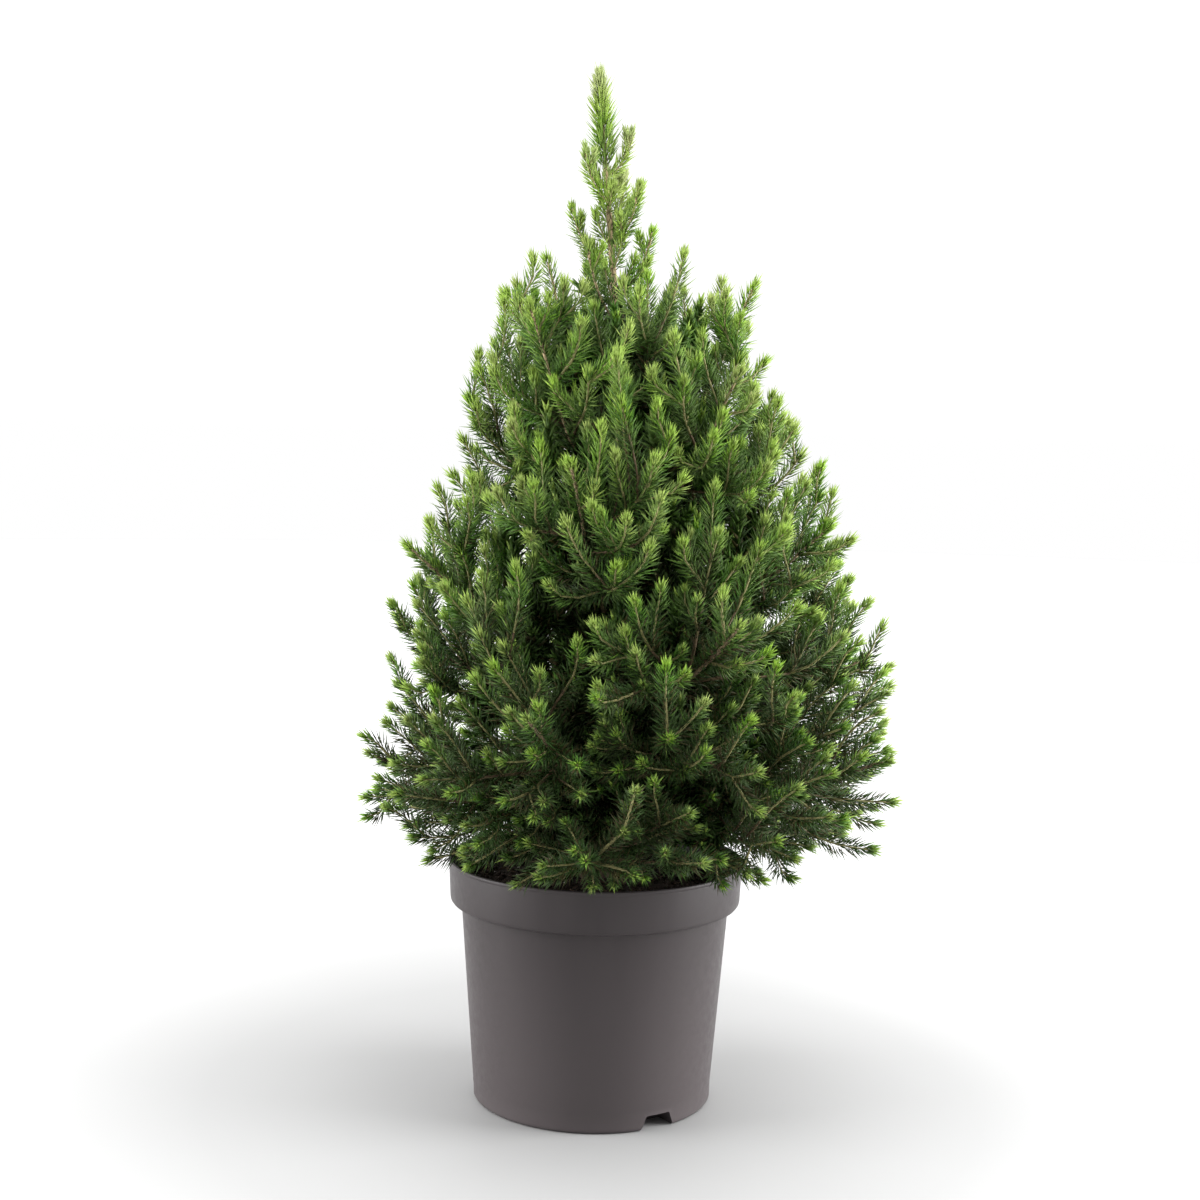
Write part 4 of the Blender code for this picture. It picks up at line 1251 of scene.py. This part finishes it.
def tone_of(outward, height, tips, dice):
    """Which tone each needle has, by how far out and up its shoot ends and how far it is from the tip."""
    topmost = outward > PALE_SHARE
    outward += dice.normal(0, OUTWARD_JITTER)
    # Painted shade: the lower a shoot ends, the less of its bright young tones it keeps
    shade = np.interp(height, PAINTED_SHADE_HEIGHTS, YOUTH_LEFT_BY_PAINTED_SHADE)
    youth = np.interp(outward, OUTWARD_SHARES, OUTWARD_YOUTHS) * shade
    fresh = dice.uniform(*FRESH_LENGTHS) * youth
    light = fresh + dice.uniform(*LIGHT_LENGTHS) * youth
    mid = light + (MID_LENGTH if outward > MOST_MID_SHARE else INNER_MID_LENGTH) * shade
    seen = tips * (1 + dice.normal(0, TONE_JITTER, len(tips)))
    names = list(TONES)
    tones = np.full(len(tips), names.index("deep"))
    for tone, reach in (("mid", mid), ("light", light), ("fresh", fresh)):
        tones[seen < reach] = names.index(tone)
    if topmost:
        tones -= 1
    tones[(seen > mid) & (dice.random(len(tips)) < OLD_NEEDLES)] = names.index("old")
    return tones


def needle_corners(bases, directions, along, lengths, width, waist):
    """Corners of needles that curl a little to the shoot's tip, three-sided at the waist.

    A spindle, with its waist at a share of its length, comes to a point at its foot too. A spike has
    its waist at its foot.
    """
    across = unit(np.cross(directions, along) + NUDGE)
    other = np.cross(directions, across)
    middles = bases + directions * (lengths * waist)[:, None]
    turns = [math.tau * k / 3 for k in range(3)]
    sides = [middles + (across * math.cos(turn) + other * math.sin(turn)) * width / 2 for turn in turns]
    tips = bases + directions * lengths[:, None] + along * (lengths * NEEDLE_CURL)[:, None]
    return np.stack([bases, *sides, tips] if waist else [*sides, tips], axis=1)


dice = np.random.default_rng(NEEDLE_SEED)
sprays = [[] for _ in range(2 * len(TONES))]
for shoot in shoots:
    outward = crown_share(shoot.points[-1])
    bases, directions, along, lengths, tips = needles_of(shoot, outward, dice)
    tones = tone_of(outward, shoot.points[-1].z, tips, dice)
    clear = clear_needles(bases, directions, lengths)
    first = 0 if outward > INNER_SHARE else len(TONES)
    for number in range(len(TONES)):
        chosen = clear & (tones == number)
        sprays[first + number].append((bases[chosen], directions[chosen], along[chosen], lengths[chosen]))
tone_group = needle_tone_group()
matters = [needle_material(tone, colour, tone_group) for tone, colour in TONES.items()]
names = [f"{kind}_{tone}" for kind in ("needles", "inner") for tone in TONES]
shapes = [(NEEDLE_WIDTH, NEEDLE_WAIST, SPINDLE), (INNER_WIDTH, 0, SPIKE)]
for index, (name, spray) in enumerate(zip(names, sprays)):
    width, waist, pattern = shapes[index // len(TONES)]
    parts = [np.concatenate(part) for part in zip(*spray)]
    pieces = math.ceil(len(parts[0]) / MOST_NEEDLES_A_PIECE)
    if not pieces:
        continue
    for number, chosen in enumerate(np.array_split(np.arange(len(parts[0])), pieces)):
        corners = needle_corners(*(part[chosen] for part in parts), width, waist)
        piece = piece_of_copies(f"{name}_{number + 1}", corners, pattern, matters[index % len(TONES)])
        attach(piece, "root")
        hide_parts(*foliage_nodes)


# ---------------------------------------------------------------- Floor, light and camera
# A plain studio floor, grey near the container and running out into white, under soft light from the
# back, from both sides and from overhead. The grey round the container is painted shade. The camera stands
# a little above the crown's middle.

FLOOR_RADIUS = 6.0
FLOOR_SIDES = 96
FLOOR_ROUGHNESS = 0.6
# The grey near the container is painted shade round its foot; the white further out is the floor's own
NEAR_FLOOR_PAINTED_SHADE, FAR_FLOOR = (0.38, 0.38, 0.38, 1), (0.95, 0.95, 0.95, 1)
NEAR_DISTANCE, FAR_DISTANCE = 0.25, 1.3
CAMERA_PLACE = Vector((-0.0006, -1.18805, 0.42785))
CAMERA_AIM = Vector((-0.0006, 0, 0.3226))
CAMERA_ROLL = math.radians(1.16)
CAMERA_LENS = 56.0
FRONT_LIGHT = 0.02
BACK_LIGHT = 1.0
TOP_LIGHT = 1.1
# The direction's Y part over which the light falls off from the back to the front
LIGHT_EDGE = (-0.60, 0.30)
SOFTBOX_SIZE = (0.7, 1.0)
# Where each softbox hangs, what it is turned to, and its watts
SOFTBOXES = {
    "left_softbox": (Vector((-1.20, -0.20, 0.40)), Vector((0, 0, 0.20)), 21),
    "right_softbox": (Vector((1.20, -0.10, 0.40)), Vector((0, 0, 0.20)), 28),
    "top_softbox": (Vector((0.20, -0.30, 1.40)), Vector((0, 0, 0.45)), 10),
}

floor = bmesh.new()
bmesh.ops.create_circle(floor, cap_ends=True, segments=FLOOR_SIDES, radius=FLOOR_RADIUS)
floor_matter, floor_tree, floor_shader = new_material("pale_floor")
distance = floor_tree.nodes.new("ShaderNodeVectorMath")
distance.operation = "LENGTH"
feed(floor_tree, distance.inputs[0], place_node(floor_tree))
far = range_node(floor_tree, distance.outputs["Value"], 0, 1, NEAR_DISTANCE, FAR_DISTANCE)
floor_tone = mix_node(floor_tree, far, NEAR_FLOOR_PAINTED_SHADE, FAR_FLOOR)
feed_node(floor_tree, floor_shader, Base_Color=floor_tone, Roughness=FLOOR_ROUGHNESS)
floor = add_piece("studio_floor", floor, floor_matter)

world = bpy.data.worlds.new("soft_studio")
bpy.context.scene.world = world
world.use_nodes = True
sky = world.node_tree


def sky_math(operation, *values):
    made = sky.nodes.new("ShaderNodeMath")
    made.operation = operation
    for value, socket in zip(values, made.inputs):
        feed(sky, socket, value)
    return made.outputs["Value"]


outwards = add_node(sky, "TexCoord").outputs["Generated"]
towards = add_node(sky, "SeparateXYZ", Vector=outwards).outputs
behind = range_node(sky, towards["Y"], FRONT_LIGHT, BACK_LIGHT, *LIGHT_EDGE)
behind.node.interpolation_type = "SMOOTHSTEP"
glow = sky_math("MULTIPLY_ADD", sky_math("MAXIMUM", towards["Z"], 0), TOP_LIGHT, behind)
# The camera sees the backdrop plain white
seen = add_node(sky, "LightPath").outputs["Is Camera Ray"]
strength = sky_math("MAXIMUM", glow, seen)
feed_node(sky, sky.nodes["Background"], Color=(1, 1, 1, 1), Strength=strength)

for name, (hung, aim, watts) in SOFTBOXES.items():
    light = bpy.data.lights.new(name, "AREA")
    light.shape = "RECTANGLE"
    light.size, light.size_y = SOFTBOX_SIZE
    light.energy = watts
    softbox = bpy.data.objects.new(name, light)
    softbox.location = hung
    softbox.rotation_euler = (aim - hung).to_track_quat("-Z", "Y").to_euler()
    bpy.context.scene.collection.objects.link(softbox)

camera_data = bpy.data.cameras.new("studio_camera")
camera_data.lens = CAMERA_LENS
camera = bpy.data.objects.new("studio_camera", camera_data)
camera.location = CAMERA_PLACE
camera.rotation_mode = "QUATERNION"
aimed = (CAMERA_AIM - CAMERA_PLACE).to_track_quat("-Z", "Y")
camera.rotation_quaternion = aimed @ Quaternion((0, 0, 1), CAMERA_ROLL)
bpy.context.scene.collection.objects.link(camera)
bpy.context.scene.camera = camera
bpy.context.scene.view_settings.view_transform = "Standard"
